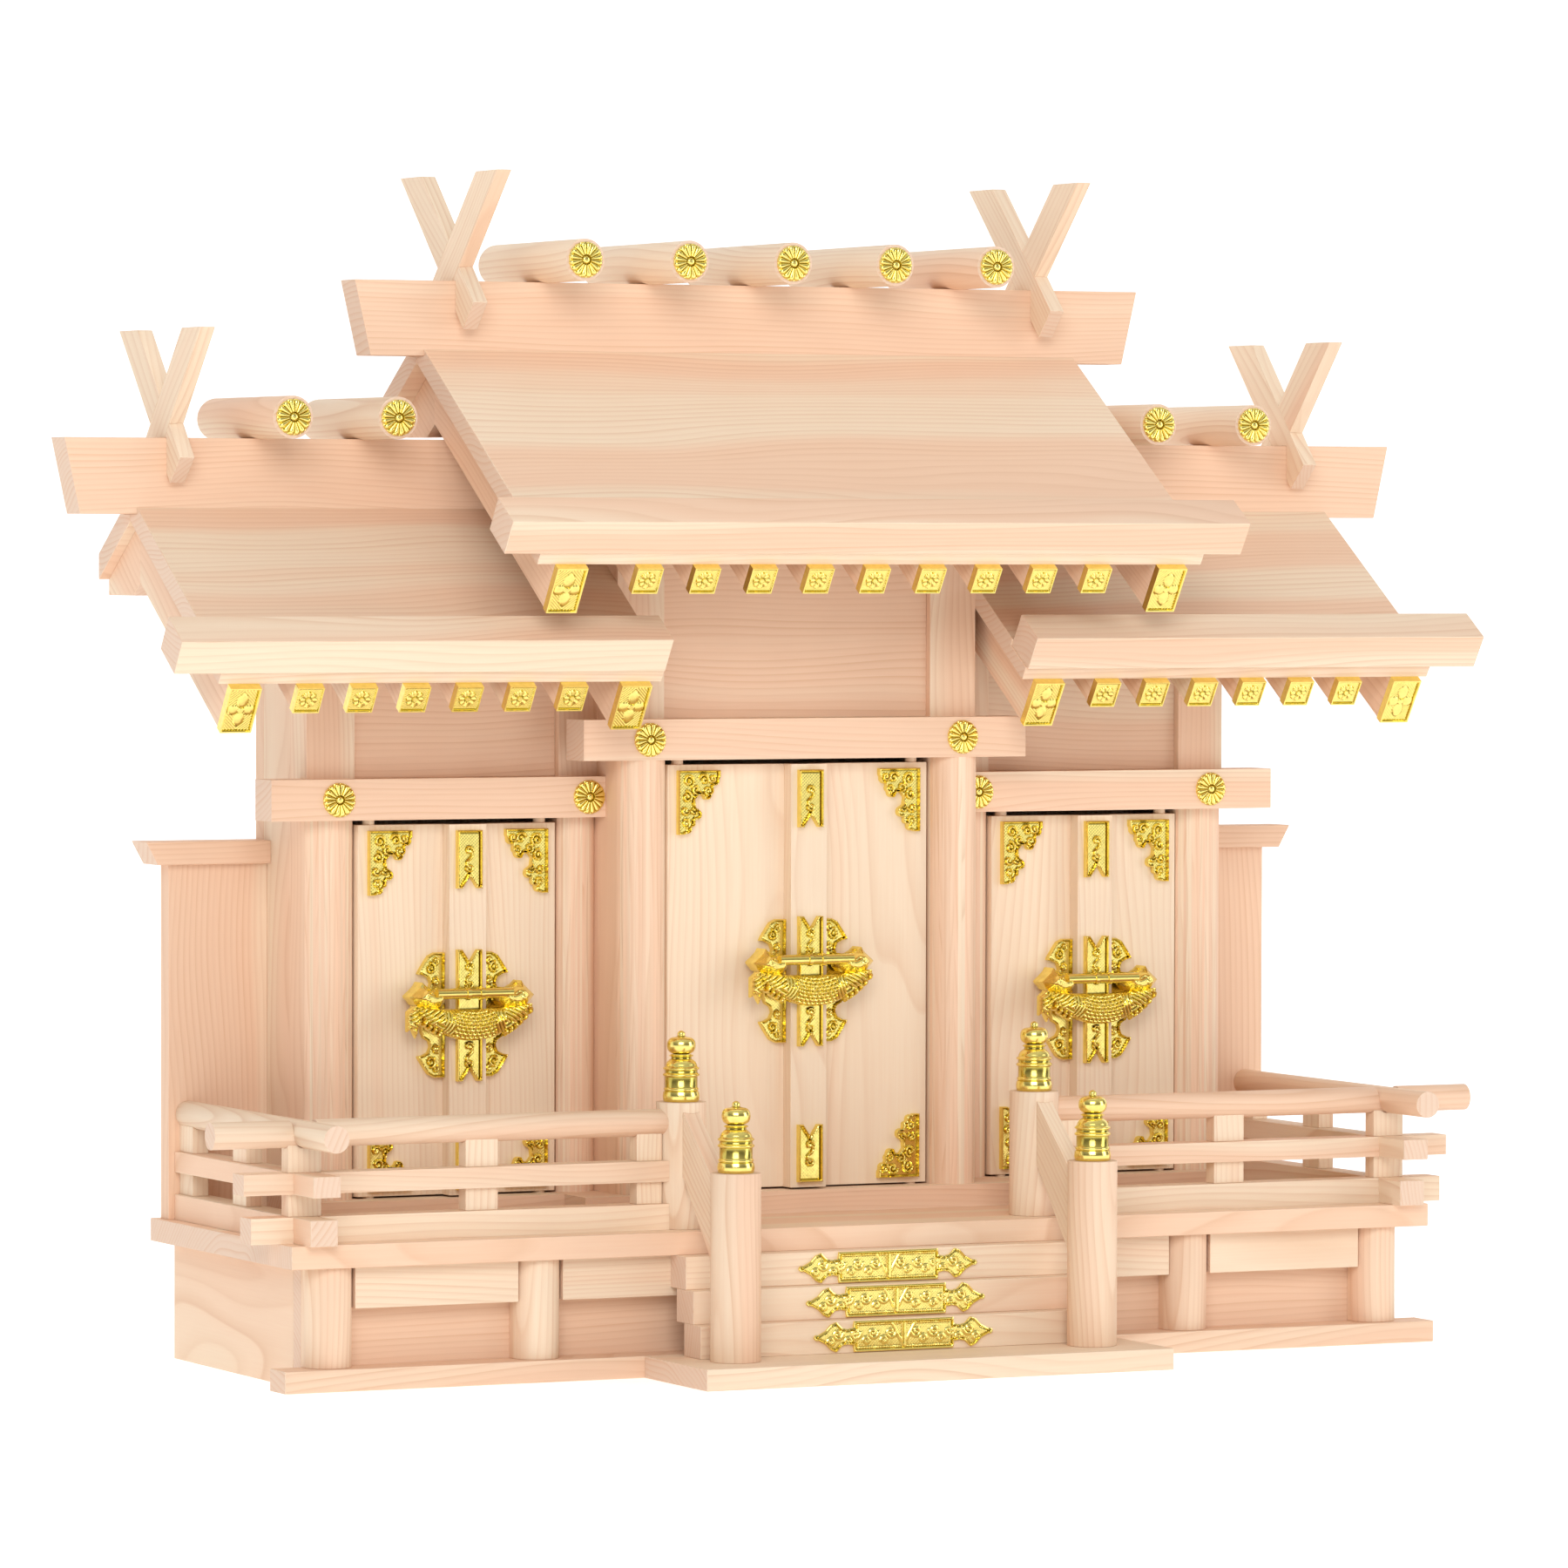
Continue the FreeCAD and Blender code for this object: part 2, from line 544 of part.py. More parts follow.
derive("centre_bar_half", "centre_board + centre_bar_end", "half the length of the centre eave bar")
derive("centre_ridge_top", "centre_board + centre_ridge_end",
       "half the length of the centre ridge board's top")
derive("centre_ridge_low", "centre_ridge_top - centre_ridge_rake",
       "half the length of the centre ridge board's underside")
derive("centre_barge", "centre_board - centre_barge_in", "place of the centre roof's end rafters")
derive("side_board", "side_out + side_verge", "outer edge of a side roof")
derive("side_bar_in", "centre_out + side_bar_free", "inner end of a side eave bar")
derive("side_bar_out", "side_board + side_bar_end", "outer end of a side eave bar")
derive("side_ridge_top", "side_board + side_ridge_end", "outer end of a side ridge board's top")
derive("side_ridge_low", "side_ridge_top - side_ridge_rake", "outer end of a side ridge board's underside")
derive("side_barge_out", "side_board - side_barge_edge", "place of a side roof's outer end rafter")
derive("side_barge_in", "centre_out + side_barge_free", "place of a side roof's inner end rafter")
derive("side_rafter_first", "side_barge_in + side_rafter_free",
       "place of a side roof's innermost small rafter")
derive("side_log_first", "centre_out + side_log_in", "place of a side roof's inner log")
derive("centre_fork_x", "centre_board - centre_fork_in", "place of the centre forks")
derive("side_fork_x", "side_board - side_fork_in", "place of the side forks")
doc.recompute()


def bind(piece, word, formula):
    """Tie one property of a piece to named values."""
    piece.setExpression(word, full(formula))


def box(name, across, along, height):
    """A board between two places on each axis."""
    piece = doc.addObject("Part::Box", name)
    spans = (("Length", "x", "0", across), ("Width", "y", "deck_front", along), ("Height", "z", "0", height))
    for word, axis, start, span in spans:
        low, high = span
        bind(piece, word, f"({high}) - ({low})")
        bind(piece, f"Placement.Base.{axis}", f"{start} + ({low})")
    return piece


def rod(name, radius, across, along, height):
    """A round bar along the one axis that is given as a span."""
    piece = doc.addObject("Part::Cylinder", name)
    bind(piece, "Radius", radius)
    turns = {"x": FreeCAD.Rotation(FreeCAD.Vector(0, 1, 0), FLAT_TURN),
             "y": FreeCAD.Rotation(FreeCAD.Vector(1, 0, 0), -FLAT_TURN),
             "z": FreeCAD.Rotation()}
    places = (("x", "0", across), ("y", "deck_front", along), ("z", "0", height))
    for axis, start, place in places:
        low = place
        if isinstance(place, tuple):
            low, high = place
            bind(piece, "Height", f"({high}) - ({low})")
            piece.Placement = FreeCAD.Placement(FreeCAD.Vector(), turns[axis])
    for axis, start, place in places:
        low = place[0] if isinstance(place, tuple) else place
        bind(piece, f"Placement.Base.{axis}", f"{start} + ({low})")
    return piece


def rough_corner(index, count):
    """A first place for one corner of an outline, before its constraints move it."""
    turn = math.tau * index / count
    return FreeCAD.Vector(ROUGH_RADIUS * math.cos(turn), ROUGH_RADIUS * math.sin(turn), 0)


def profile(name, plane, corners, start, length):
    """A board cut to an outline on one plane, from a start for a length."""
    body = doc.addObject("PartDesign::Body", name)
    sketch = body.newObject("Sketcher::SketchObject", name + "_outline")
    support = [item for item in body.Origin.OriginFeatures if item.Role == plane][0]
    sketch.AttachmentSupport = [(support, "")]
    sketch.MapMode = "FlatFace"
    count = len(corners)
    rough = [rough_corner(index, count) for index in range(count)]
    for index in range(count):
        sketch.addGeometry(Part.LineSegment(rough[index], rough[(index + 1) % count]))
    for index in range(count):
        after = (index + 1) % count
        sketch.addConstraint(Sketcher.Constraint("Coincident", index, END, after, START))
    for index, (flat, rise) in enumerate(corners):
        for kind, value, formula in (("DistanceX", rough[index].x, flat), ("DistanceY", rough[index].y, rise)):
            number = sketch.addConstraint(Sketcher.Constraint(kind, index, START, value))
            sketch.setExpression(f"Constraints[{number}]", full(formula))
    pad = body.newObject("PartDesign::Pad", name + "_pad")
    pad.Profile = sketch
    bind(pad, "Length", length)
    bases = {"YZ_Plane": (start, "deck_front", "0"),
             "XZ_Plane": ("0", f"deck_front + ({start})", "0"),
             "XY_Plane": ("0", "deck_front", start)}
    for axis, formula in zip("xyz", bases[plane]):
        bind(body, f"Placement.Base.{axis}", formula)
    body.Tip = pad
    return body


def mirrored(piece):
    """The same piece on the other side of the middle."""
    twin = doc.addObject("Part::Mirroring", piece.Name + "_twin")
    twin.Source = piece
    twin.Base = FreeCAD.Vector()
    twin.Normal = FreeCAD.Vector(1, 0, 0)
    return twin


def pair(piece):
    """A piece with its mirror image."""
    return [piece, mirrored(piece)]


def joined(name, pieces):
    """One solid from touching or crossing pieces."""
    whole = doc.addObject("Part::MultiFuse", name)
    whole.Shapes = pieces
    whole.Refine = True
    return whole


def without(name, piece, tools):
    """A piece with the space of other pieces taken out."""
    tool = tools[0] if len(tools) == 1 else joined(name + "_space", tools)
    rest = doc.addObject("Part::Cut", name)
    rest.Base = piece
    rest.Tool = tool
    rest.Refine = True
    return rest


def shared(name, first, second):
    """The space that two pieces share."""
    overlap = doc.addObject("Part::Common", name)
    overlap.Base = first
    overlap.Tool = second
    overlap.Refine = True
    return overlap


def node(name, pieces):
    """Name one sub-part, made of one or more separate solids."""
    if len(pieces) == 1:
        whole = pieces[0]
    else:
        whole = doc.addObject("Part::Compound", name + "_set")
        whole.Links = pieces
    whole.Label = name
    nodes.append(whole)


def even(middle, half):
    """A span that reaches the same distance both ways."""
    return (f"({middle}) - ({half})", f"({middle}) + ({half})")


def from_side(middle, hand, near, far):
    """A span across, measured from a middle towards the left or the right."""
    if hand == RIGHT:
        return (f"({middle}) + ({near})", f"({middle}) + ({far})")
    return (f"({middle}) - ({far})", f"({middle}) - ({near})")


def base():
    """The sill, boards and posts that carry the deck."""
    node("front_sill", [box("sill", even("0", "sill_half"), ("0", "sill_depth"), ("0", "sill_top"))])
    panel_back = "sill_depth + base_wall"
    node("base_lower_panel", [box("lower_panel", even("0", "base_half"), ("sill_depth", panel_back),
                                  ("0", "deck_low"))])
    side = box("base_side", ("base_half - base_wall", "base_half"), (panel_back, "deck_depth"),
               ("0", "deck_low"))
    node("base_side_panels", pair(side))
    node("base_back", [box("base_rear", even("0", "base_half - base_wall"),
                           ("deck_depth - base_wall", "deck_depth"), ("0", "deck_low"))])
    posts = []
    for place in ("inner_post_x", "outer_post_x"):
        face = rod("base_post_face_" + place, "base_post_radius", place, "base_post_y", ("sill_top", "deck_low"))
        depth = box("base_post_depth_" + place, even(place, "base_post_radius"),
                    ("base_post_y - base_post_radius", "base_post_y"), ("sill_top", "deck_low"))
        shank = box("base_post_shank_" + place, even(place, "base_post_radius"),
                    ("base_post_y", "sill_depth"), ("sill_top", "deck_low"))
        front = shared("base_post_front_" + place, face, depth)
        posts += pair(joined("base_post_" + place, [front, shank]))
    node("base_posts", posts)
    rise = ("deck_low - upper_board_high", "deck_low")
    depth = ("upper_board_front", "sill_depth")
    middle = box("upper_board_middle", even("0", "inner_post_x - base_post_radius"), depth, rise)
    outer = box("upper_board_outer", ("inner_post_x + base_post_radius", "outer_post_x - base_post_radius"),
                depth, rise)
    node("base_upper_boards", [middle] + pair(outer))
    node("deck_board", [box("deck", even("0", "deck_half"), ("0", "deck_depth"), ("deck_low", "deck_top"))])


def step_front(index):
    """Front face of one step, the lowest being number 0."""
    return f"-(step_nose + step_run * (step_count - 1 - {index}))"


def stair():
    """The landing, the three steps and their gilt plates."""
    node("landing_board", [box("landing", even("0", "landing_half"), ("-landing_out", "0"),
                               ("0", "landing_top"))])
    steps = []
    plates = []
    steps_in_all = int(sizes.get("step_count"))
    for index in range(steps_in_all):
        front = step_front(index)
        back = "upper_board_front" if index == steps_in_all - 1 else f"{front} + step_depth"
        low = f"landing_top + step_high * {index}"
        steps.append(box(f"step_{index}", even("0", "step_half"), (front, back), (low, f"{low} + step_high")))
        middle = f"{low} + step_high / 2"
        corners = (("-plate_half", middle),
                   ("plate_point - plate_half", f"{middle} - plate_high / 2"),
                   ("plate_half - plate_point", f"{middle} - plate_high / 2"),
                   ("plate_half", middle),
                   ("plate_half - plate_point", f"{middle} + plate_high / 2"),
                   ("plate_point - plate_half", f"{middle} + plate_high / 2"))
        plates.append(profile(f"step_plate_{index}", "XZ_Plane", corners, front, "plate_thick"))
    node("stair_steps", steps)
    node("step_plates", plates)


def finial(name, place_y, foot):
    """A turned gilt cap: foot ring, banded barrel, neck, onion and nub."""
    def disc(word, radius, low, high):
        return rod(f"{name}_{word}", radius, "stair_x", place_y, (f"{foot} + {low}", f"{foot} + {high}"))
    swollen = "finial_radius + finial_ring"
    pieces = [disc("foot", swollen, "0", "finial_foot"),
              disc("barrel", "finial_radius", "0", "finial_barrel"),
              disc("neck", "finial_neck_radius", "0", "finial_neck + finial_onion_high"),
              disc("stalk", "finial_nub / 2", "finial_neck", "finial_tip")]
    for index in range(FINIAL_BANDS):
        low = f"finial_foot + finial_band_step * ({index} + 1) - finial_band"
        pieces.append(disc(f"band_{index}", swollen, low, f"{low} + finial_band"))
    onion = doc.addObject("Part::Ellipsoid", name + "_onion")
    bind(onion, "Radius1", "finial_onion_high")
    bind(onion, "Radius2", "finial_onion")
    bind(onion, "Radius3", "finial_onion")
    nub = doc.addObject("Part::Sphere", name + "_nub")
    bind(nub, "Radius", "finial_nub")
    for piece, rise in ((onion, "finial_neck + finial_onion_high"), (nub, "finial_tip")):
        bind(piece, "Placement.Base.x", "stair_x")
        bind(piece, "Placement.Base.y", f"deck_front + {place_y}")
        bind(piece, "Placement.Base.z", f"{foot} + {rise}")
        pieces.append(piece)
    return joined(name, pieces)


def stair_posts():
    """The four round posts, the two handrail boards let into them, and the finials."""
    low_end = "low_post_y + stair_radius - hand_bite"
    high_end = "high_post_y - stair_radius + hand_bite"
    corners = ((low_end, "hand_low_low"), (high_end, "hand_high_low"),
               (high_end, "hand_high_top"), (low_end, "hand_low_top"))
    hand = profile("handrail", "YZ_Plane", corners, "stair_x - hand_thick / 2", "hand_thick")
    low = rod("low_post_round", "stair_radius", "stair_x", "low_post_y", ("landing_top", "low_post_top"))
    high = rod("high_post_round", "stair_radius", "stair_x", "high_post_y", ("deck_top", "high_post_top"))
    node("stair_handrails", pair(hand))
    node("stair_posts", pair(without("low_post", low, [hand])) + pair(without("high_post", high, [hand])))
    caps = pair(finial("low_finial", "low_post_y", "low_post_top"))
    caps += pair(finial("high_finial", "high_post_y", "high_post_top"))
    node("post_finials", caps)
    return high


def railings(stair_post):
    """Front and side rails, halved into each other where they cross, and their struts."""
    half_wide = "square_rail / 2"
    mid = ("mid_rail_low", "mid_rail_low + mid_rail_high")
    low = ("deck_top", "deck_top + low_rail_high")
    round_cross = even("rail_height", "rail_radius")
    front_along = even("front_rail_y", half_wide)
    side_across = even("side_rail_x", half_wide)
    round_along = even("front_rail_y", "rail_radius")
    round_across = even("side_rail_x", "rail_radius")
    front_top = rod("front_top_bar", "rail_radius", ("stair_x", "top_rail_half"), "front_rail_y", "rail_height")
    side_top = rod("side_top_bar", "rail_radius", "side_rail_x", ("-top_rail_out", "rail_back"), "rail_height")
    front_mid = box("front_mid_bar", ("stair_x", "mid_rail_half"), front_along, mid)
    side_mid = box("side_mid_bar", side_across, ("-mid_rail_out", "rail_back"), mid)
    front_low = box("front_low_bar", ("stair_x", "low_rail_half"), front_along, low)
    side_low = box("side_low_bar", side_across, ("-low_rail_out", "rail_back"), low)
    front_rails = []
    side_rails = []
    runs = ((front_top, side_top, round_across, round_along, round_cross),
            (front_mid, side_mid, side_across, front_along, mid),
            (front_low, side_low, side_across, front_along, low))
    for index, (front, side, across, along, height) in enumerate(runs):
        bottom, top = height
        centre = f"(({bottom}) + ({top})) / 2"
        upper = box(f"halving_upper_{index}", across, along, (centre, top))
        lower = box(f"halving_lower_{index}", across, along, (bottom, centre))
        front_rails += pair(without(f"front_rail_{index}", front, [upper, stair_post]))
        side_rails += pair(without(f"side_rail_{index}", side, [lower]))
    node("front_rails", front_rails)
    node("side_rails", side_rails)
    under_mid = ("deck_top + low_rail_high", "mid_rail_low")
    under_top = ("mid_rail_low + mid_rail_high", "rail_height")
    front_thin = even("front_rail_y", "strut_thin / 2")
    side_thin = even("side_rail_x", "strut_thin / 2")
    places = (("corner", even("side_rail_x", "strut_wide / 2"), front_thin, front_top),
              ("middle", even("strut_mid_x", "strut_wide / 2"), front_thin, front_top),
              ("end", even("strut_end_x", "strut_end_wide / 2"), front_thin, front_top),
              ("side", side_thin, even("strut_side_y", "strut_wide / 2"), side_top),
              ("rear", side_thin, ("rail_back - strut_wide", "rail_back"), side_top))
    struts = []
    for word, across, along, bar in places:
        struts += pair(box("low_strut_" + word, across, along, under_mid))
        tools = [front_top, side_top] if word == "corner" else [bar]
        struts += pair(without("high_strut_" + word, box("high_strut_bar_" + word, across, along, under_top),
                               tools))
    node("railing_struts", struts)


def wings():
    """The wing walls beside the cells and their caps."""
    panel = box("wing_panel", ("side_out", "wing_out"), ("wing_front", "wing_front + wing_thick"),
                ("deck_top", "wing_top"))
    node("wing_panels", pair(panel))
    cap_top = "wing_top + cap_high"
    corners = (("side_out", "wing_top"), ("cap_end_low", "wing_top"),
               ("cap_end_top", cap_top), ("side_out", cap_top))
    back = "wing_front + wing_thick + cap_over"
    cap = profile("wing_cap", "XZ_Plane", corners, back, "wing_thick + 2 * cap_over")
    node("wing_caps", pair(cap))


def front_line(roof, along, depth):
    """Height on the front slope at a distance, a depth below its top."""
    level = f"{roof}_ridge_y - ridge_half - ({along})"
    return f"({roof}_foot - ({level}) * roof_tan - ({depth}) / roof_cos)"


def back_line(roof, along, depth):
    """Height on the back slope at a distance, a depth below its top."""
    level = f"({along}) - {roof}_ridge_y - ridge_half"
    return f"({roof}_foot - ({level}) * roof_tan - ({depth}) / roof_cos)"


def peak(roof, depth):
    """The place under the ridge where both slopes meet, a depth below their tops."""
    return (f"{roof}_ridge_y", front_line(roof, f"{roof}_ridge_y", depth))


def on_slope(roof, run, depth):
    """A place on the front slope, by the slope length from the ridge board and the depth."""
    return (f"{roof}_ridge_y - ridge_half - ({run}) * roof_cos + ({depth}) * roof_sin",
            f"{roof}_foot - ({run}) * roof_sin - ({depth}) * roof_cos")


def roof_pieces(roof, across, bar_across, ridge):
    """The two roof boards, the eave bar and the ridge board of one roof."""
    low, high = across
    width = f"({high}) - ({low})"
    middle = f"{roof}_ridge_y"
    front_face = f"{middle} - ridge_half"
    back_face = f"{middle} + ridge_half"
    seat = f"{roof}_foot - ridge_sink"
    board_end = f"{roof}_bar + bar_wide - bar_over"
    front = profile(roof + "_front_board", "YZ_Plane",
                    ((middle, seat), (front_face, seat), (front_face, f"{roof}_foot"),
                     on_slope(roof, f"{roof}_bar", "0"), on_slope(roof, f"{roof}_bar", "bar_seat"),
                     on_slope(roof, board_end, "bar_seat"), on_slope(roof, board_end, "roof_thick"),
                     peak(roof, "roof_thick")), low, width)
    tail = f"{back_face} + back_run * roof_cos"
    back = profile(roof + "_back_board", "YZ_Plane",
                   ((middle, seat), (back_face, seat), (back_face, f"{roof}_foot"),
                    (tail, back_line(roof, tail, "0")), (tail, back_line(roof, tail, "roof_thick")),
                    peak(roof, "roof_thick")), low, width)
    bar_low, bar_high = bar_across
    bar = profile(roof + "_eave_bar", "YZ_Plane",
                  (on_slope(roof, f"{roof}_bar", "-bar_high"),
                   on_slope(roof, f"{roof}_bar + bar_wide", "-bar_high"),
                   on_slope(roof, f"{roof}_bar + bar_wide", "bar_seat"),
                   on_slope(roof, f"{roof}_bar", "bar_seat")), bar_low, f"({bar_high}) - ({bar_low})")
    crest = f"{roof}_crest"
    top_left, top_right, low_right, low_left = ridge
    board = profile(roof + "_ridge_board", "XZ_Plane",
                    ((top_left, crest), (top_right, crest), (low_right, seat), (low_left, seat)),
                    back_face, "2 * ridge_half")
    return front, back, bar, board


def rafter(name, roof, place, wide, deep, wall):
    """A rafter under the front slope from its end face back to a wall or the ridge."""
    end = f"{roof}_bar + rafter_out"
    under = f"roof_thick + {deep}"
    corners = [on_slope(roof, end, "roof_thick"), on_slope(roof, end, under)]
    if wall:
        corners += [(wall, front_line(roof, wall, under)), (wall, front_line(roof, wall, "roof_thick"))]
    else:
        corners += [peak(roof, under), peak(roof, "roof_thick")]
    return profile(name, "YZ_Plane", corners, f"({place}) - {wide} / 2", wide)


def rafter_cap(name, roof, place, wide, deep):
    """The gilt cap on a rafter's end face."""
    end = f"{roof}_bar + rafter_out"
    under = f"roof_thick + {deep}"
    corners = (on_slope(roof, end, "roof_thick"), on_slope(roof, f"{end} + rafter_cap", "roof_thick"),
               on_slope(roof, f"{end} + rafter_cap", under), on_slope(roof, end, under))
    return profile(name, "YZ_Plane", corners, f"({place}) - {wide} / 2", wide)


def back_barge(name, roof, place):
    """The short end rafter under the back slope, cut level below."""
    under = "roof_thick + barge_high"
    face = f"{roof}_ridge_y + ridge_half"
    tail = f"{face} + back_run * roof_cos"
    level = back_line(roof, face, under)
    corners = (peak(roof, "roof_thick"), (tail, back_line(roof, tail, "roof_thick")), (tail, level),
               (face, level), peak(roof, under))
    return profile(name, "YZ_Plane", corners, f"({place}) - barge_wide / 2", "barge_wide")


def roofs():
    """All roof boards, bars, ridge boards, rafters and caps."""
    centre = roof_pieces("centre", even("0", "centre_board"), even("0", "centre_bar_half"),
                         ("-centre_ridge_top", "centre_ridge_top", "centre_ridge_low", "-centre_ridge_low"))
    side = roof_pieces("side", ("centre_out", "side_board"), ("side_bar_in", "side_bar_out"),
                       ("centre_out", "side_ridge_top", "side_ridge_low", "centre_out"))
    names = ("roof_front_boards", "roof_back_boards", "eave_bars", "ridge_boards")
    for name, middle, outer in zip(names, centre, side):
        node(name, [middle] + pair(outer))
    small = []
    caps = []
    ends = []
    for index in range(CENTRE_RAFTERS):
        place = f"centre_pitch * {index}"
        piece = rafter(f"centre_rafter_{index}", "centre", place, "rafter_wide", "rafter_high", "centre_front")
        cap = rafter_cap(f"centre_cap_{index}", "centre", place, "rafter_wide", "rafter_high")
        small += [piece] if index == 0 else pair(piece)
        caps += [cap] if index == 0 else pair(cap)
    for index in range(SIDE_RAFTERS):
        place = f"side_rafter_first + side_pitch * {index}"
        small += pair(rafter(f"side_rafter_{index}", "side", place, "rafter_wide", "rafter_high", "side_front"))
        caps += pair(rafter_cap(f"side_cap_{index}", "side", place, "rafter_wide", "rafter_high"))
    for roof, place, wall in (("centre", "centre_barge", ""), ("side", "side_barge_out", ""),
                              ("side", "side_barge_in", "side_front")):
        ends += pair(rafter("end_rafter_" + place, roof, place, "barge_wide", "barge_high", wall))
        caps += pair(rafter_cap("end_cap_" + place, roof, place, "barge_wide", "barge_high"))
        if not wall:
            ends += pair(back_barge("back_end_rafter_" + place, roof, place))
    node("roof_rafters", small)
    node("end_rafters", ends)
    node("rafter_caps", caps)
    return centre[-1], side[-1]


def wall_profile(name, roof, along, across):
    """An upright board under a roof, its top cut to the slope or slopes above it."""
    start, end = along
    low, high = across
    corners = [(start, "floor_top"), (end, "floor_top")]
    if end in ("cell_back", "deck_depth"):
        corners.append((end, back_line(roof, end, "roof_thick")))
    else:
        corners.append((end, front_line(roof, end, "roof_thick")))
    if start == "cell_back":
        corners.append((start, back_line(roof, start, "roof_thick")))
    elif end == "cell_back":
        corners.append(peak(roof, "roof_thick"))
        corners.append((start, front_line(roof, start, "roof_thick")))
    else:
        corners.append((start, front_line(roof, start, "roof_thick")))
    return profile(name, "YZ_Plane", corners, low, f"({high}) - ({low})")


def pin_places():
    """Pivot places of all leaves: cell, middle, half doorway, front face and hand."""
    places = []
    for cell, middle, half, front in CELLS:
        for hand in (LEFT, RIGHT):
            reach = f"({half} - pin_in)"
            place = f"{middle} + {reach}" if hand == RIGHT else f"{middle} - {reach}"
            places.append((cell, place, f"{front} + pin_back", hand))
    return places


def cells():
    """Floors, corner posts, headers, upper panels and walls of the three cells."""
    holes = {"centre": [], "left": [], "right": []}
    sockets = {"centre": [], "left": [], "right": []}
    for cell, across, along, hand in pin_places():
        lintel = "centre_lintel" if cell == "centre" else "side_lintel"
        sunk = ("floor_top - pin_long - pin_end", "floor_top")
        raised = (lintel, f"{lintel} + pin_long + pin_end")
        holes[cell].append(rod(f"{cell}_hole_{hand + 1}", "pin_radius + pin_fit", across, along, sunk))
        sockets[cell].append(rod(f"{cell}_socket_{hand + 1}", "pin_radius + pin_fit", across, along, raised))
    centre_floor = box("centre_floor_board", even("0", "centre_floor"), ("centre_front - floor_out", "deck_depth"),
                       ("deck_top", "floor_top"))
    floors = [without("centre_cell_floor", centre_floor, holes["centre"])]
    header = box("centre_header_bar", even("0", "centre_header"), even_header("centre"),
                 ("centre_lintel", "centre_lintel + header_high"))
    headers = [without("centre_cell_header", header, sockets["centre"])]
    flowers = [rod("centre_flower", "flower_radius", "centre_half + flower_out", flower_span("centre"),
                   "centre_lintel + header_high / 2")]
    for cell, hand in (("left", LEFT), ("right", RIGHT)):
        floor = box(cell + "_floor_board", from_side("0", hand, "centre_floor", "side_out"),
                    ("side_front - floor_out", "deck_depth"), ("deck_top", "floor_top"))
        floors.append(without(cell + "_cell_floor", floor, holes[cell]))
        bar = box(cell + "_header_bar", from_side("0", hand, "centre_out", "side_header"), even_header("side"),
                  ("side_lintel", "side_lintel + header_high"))
        headers.append(without(cell + "_cell_header", bar, sockets[cell]))
        if hand == RIGHT:
            side_header = bar
    node("cell_floors", floors)
    node("cell_headers", headers)
    for word, place in (("inner", "centre_out + flower_free + flower_radius"),
                        ("outer", "side_doorway + flower_out")):
        flowers.append(rod("side_flower_" + word, "flower_radius", place, flower_span("side"),
                           "side_lintel + header_high / 2"))
    centre_post = wall_profile("centre_post_bar", "centre", ("centre_front", "centre_front + post_deep"),
                               ("centre_half", "centre_out"))
    inner_post = wall_profile("inner_post_bar", "side", ("side_front", "side_front + post_deep"),
                              ("centre_out", "side_in"))
    outer_post = wall_profile("outer_post_bar", "side", ("side_front", "side_front + post_deep"),
                              ("side_doorway", "side_out"))
    node("centre_posts", pair(without("centre_post", centre_post, [header])))
    node("side_posts", pair(without("inner_post", inner_post, [side_header]))
         + pair(without("outer_post", outer_post, [side_header])))
    panels = []
    for roof, across in (("centre", even("0", "centre_half")), ("side", ("side_in", "side_doorway"))):
        start = f"{roof}_front + panel_back"
        panel = wall_profile(roof + "_upper_panel", roof, (start, f"{start} + panel_thick"), across)
        below = box(roof + "_doorway", across, even_panel(roof), ("0", f"{roof}_lintel + header_high"))
        trimmed = without(roof + "_panel", panel, [below])
        panels += [trimmed] if roof == "centre" else pair(trimmed)
    node("upper_panels", panels)
    inner_wall = wall_profile("centre_wall", "centre", ("centre_front + post_deep", "cell_back"),
                              ("centre_out - cell_wall", "centre_out"))
    outer_wall = wall_profile("outer_wall", "side", ("side_front + post_deep", "cell_back"),
                              ("side_out - cell_wall", "side_out"))
    node("cell_side_walls", pair(inner_wall) + pair(outer_wall))
    middle_back = wall_profile("middle_back", "centre", ("cell_back", "deck_depth"), even("0", "centre_out"))
    outer_back = wall_profile("outer_back", "side", ("cell_back", "deck_depth"), ("centre_out", "side_out"))
    node("cell_backs", [middle_back] + pair(outer_back))
    return flowers


def even_header(roof):
    """Span along Y of a header."""
    return (f"{roof}_front - header_out", f"{roof}_front - header_out + header_deep")


def even_panel(roof):
    """Span along Y of the space below an upper panel."""
    return (f"{roof}_front", f"{roof}_front + post_deep")


def flower_span(roof):
    """Span along Y of a header flower."""
    return (f"{roof}_front - header_out - flower_thick", f"{roof}_front - header_out")


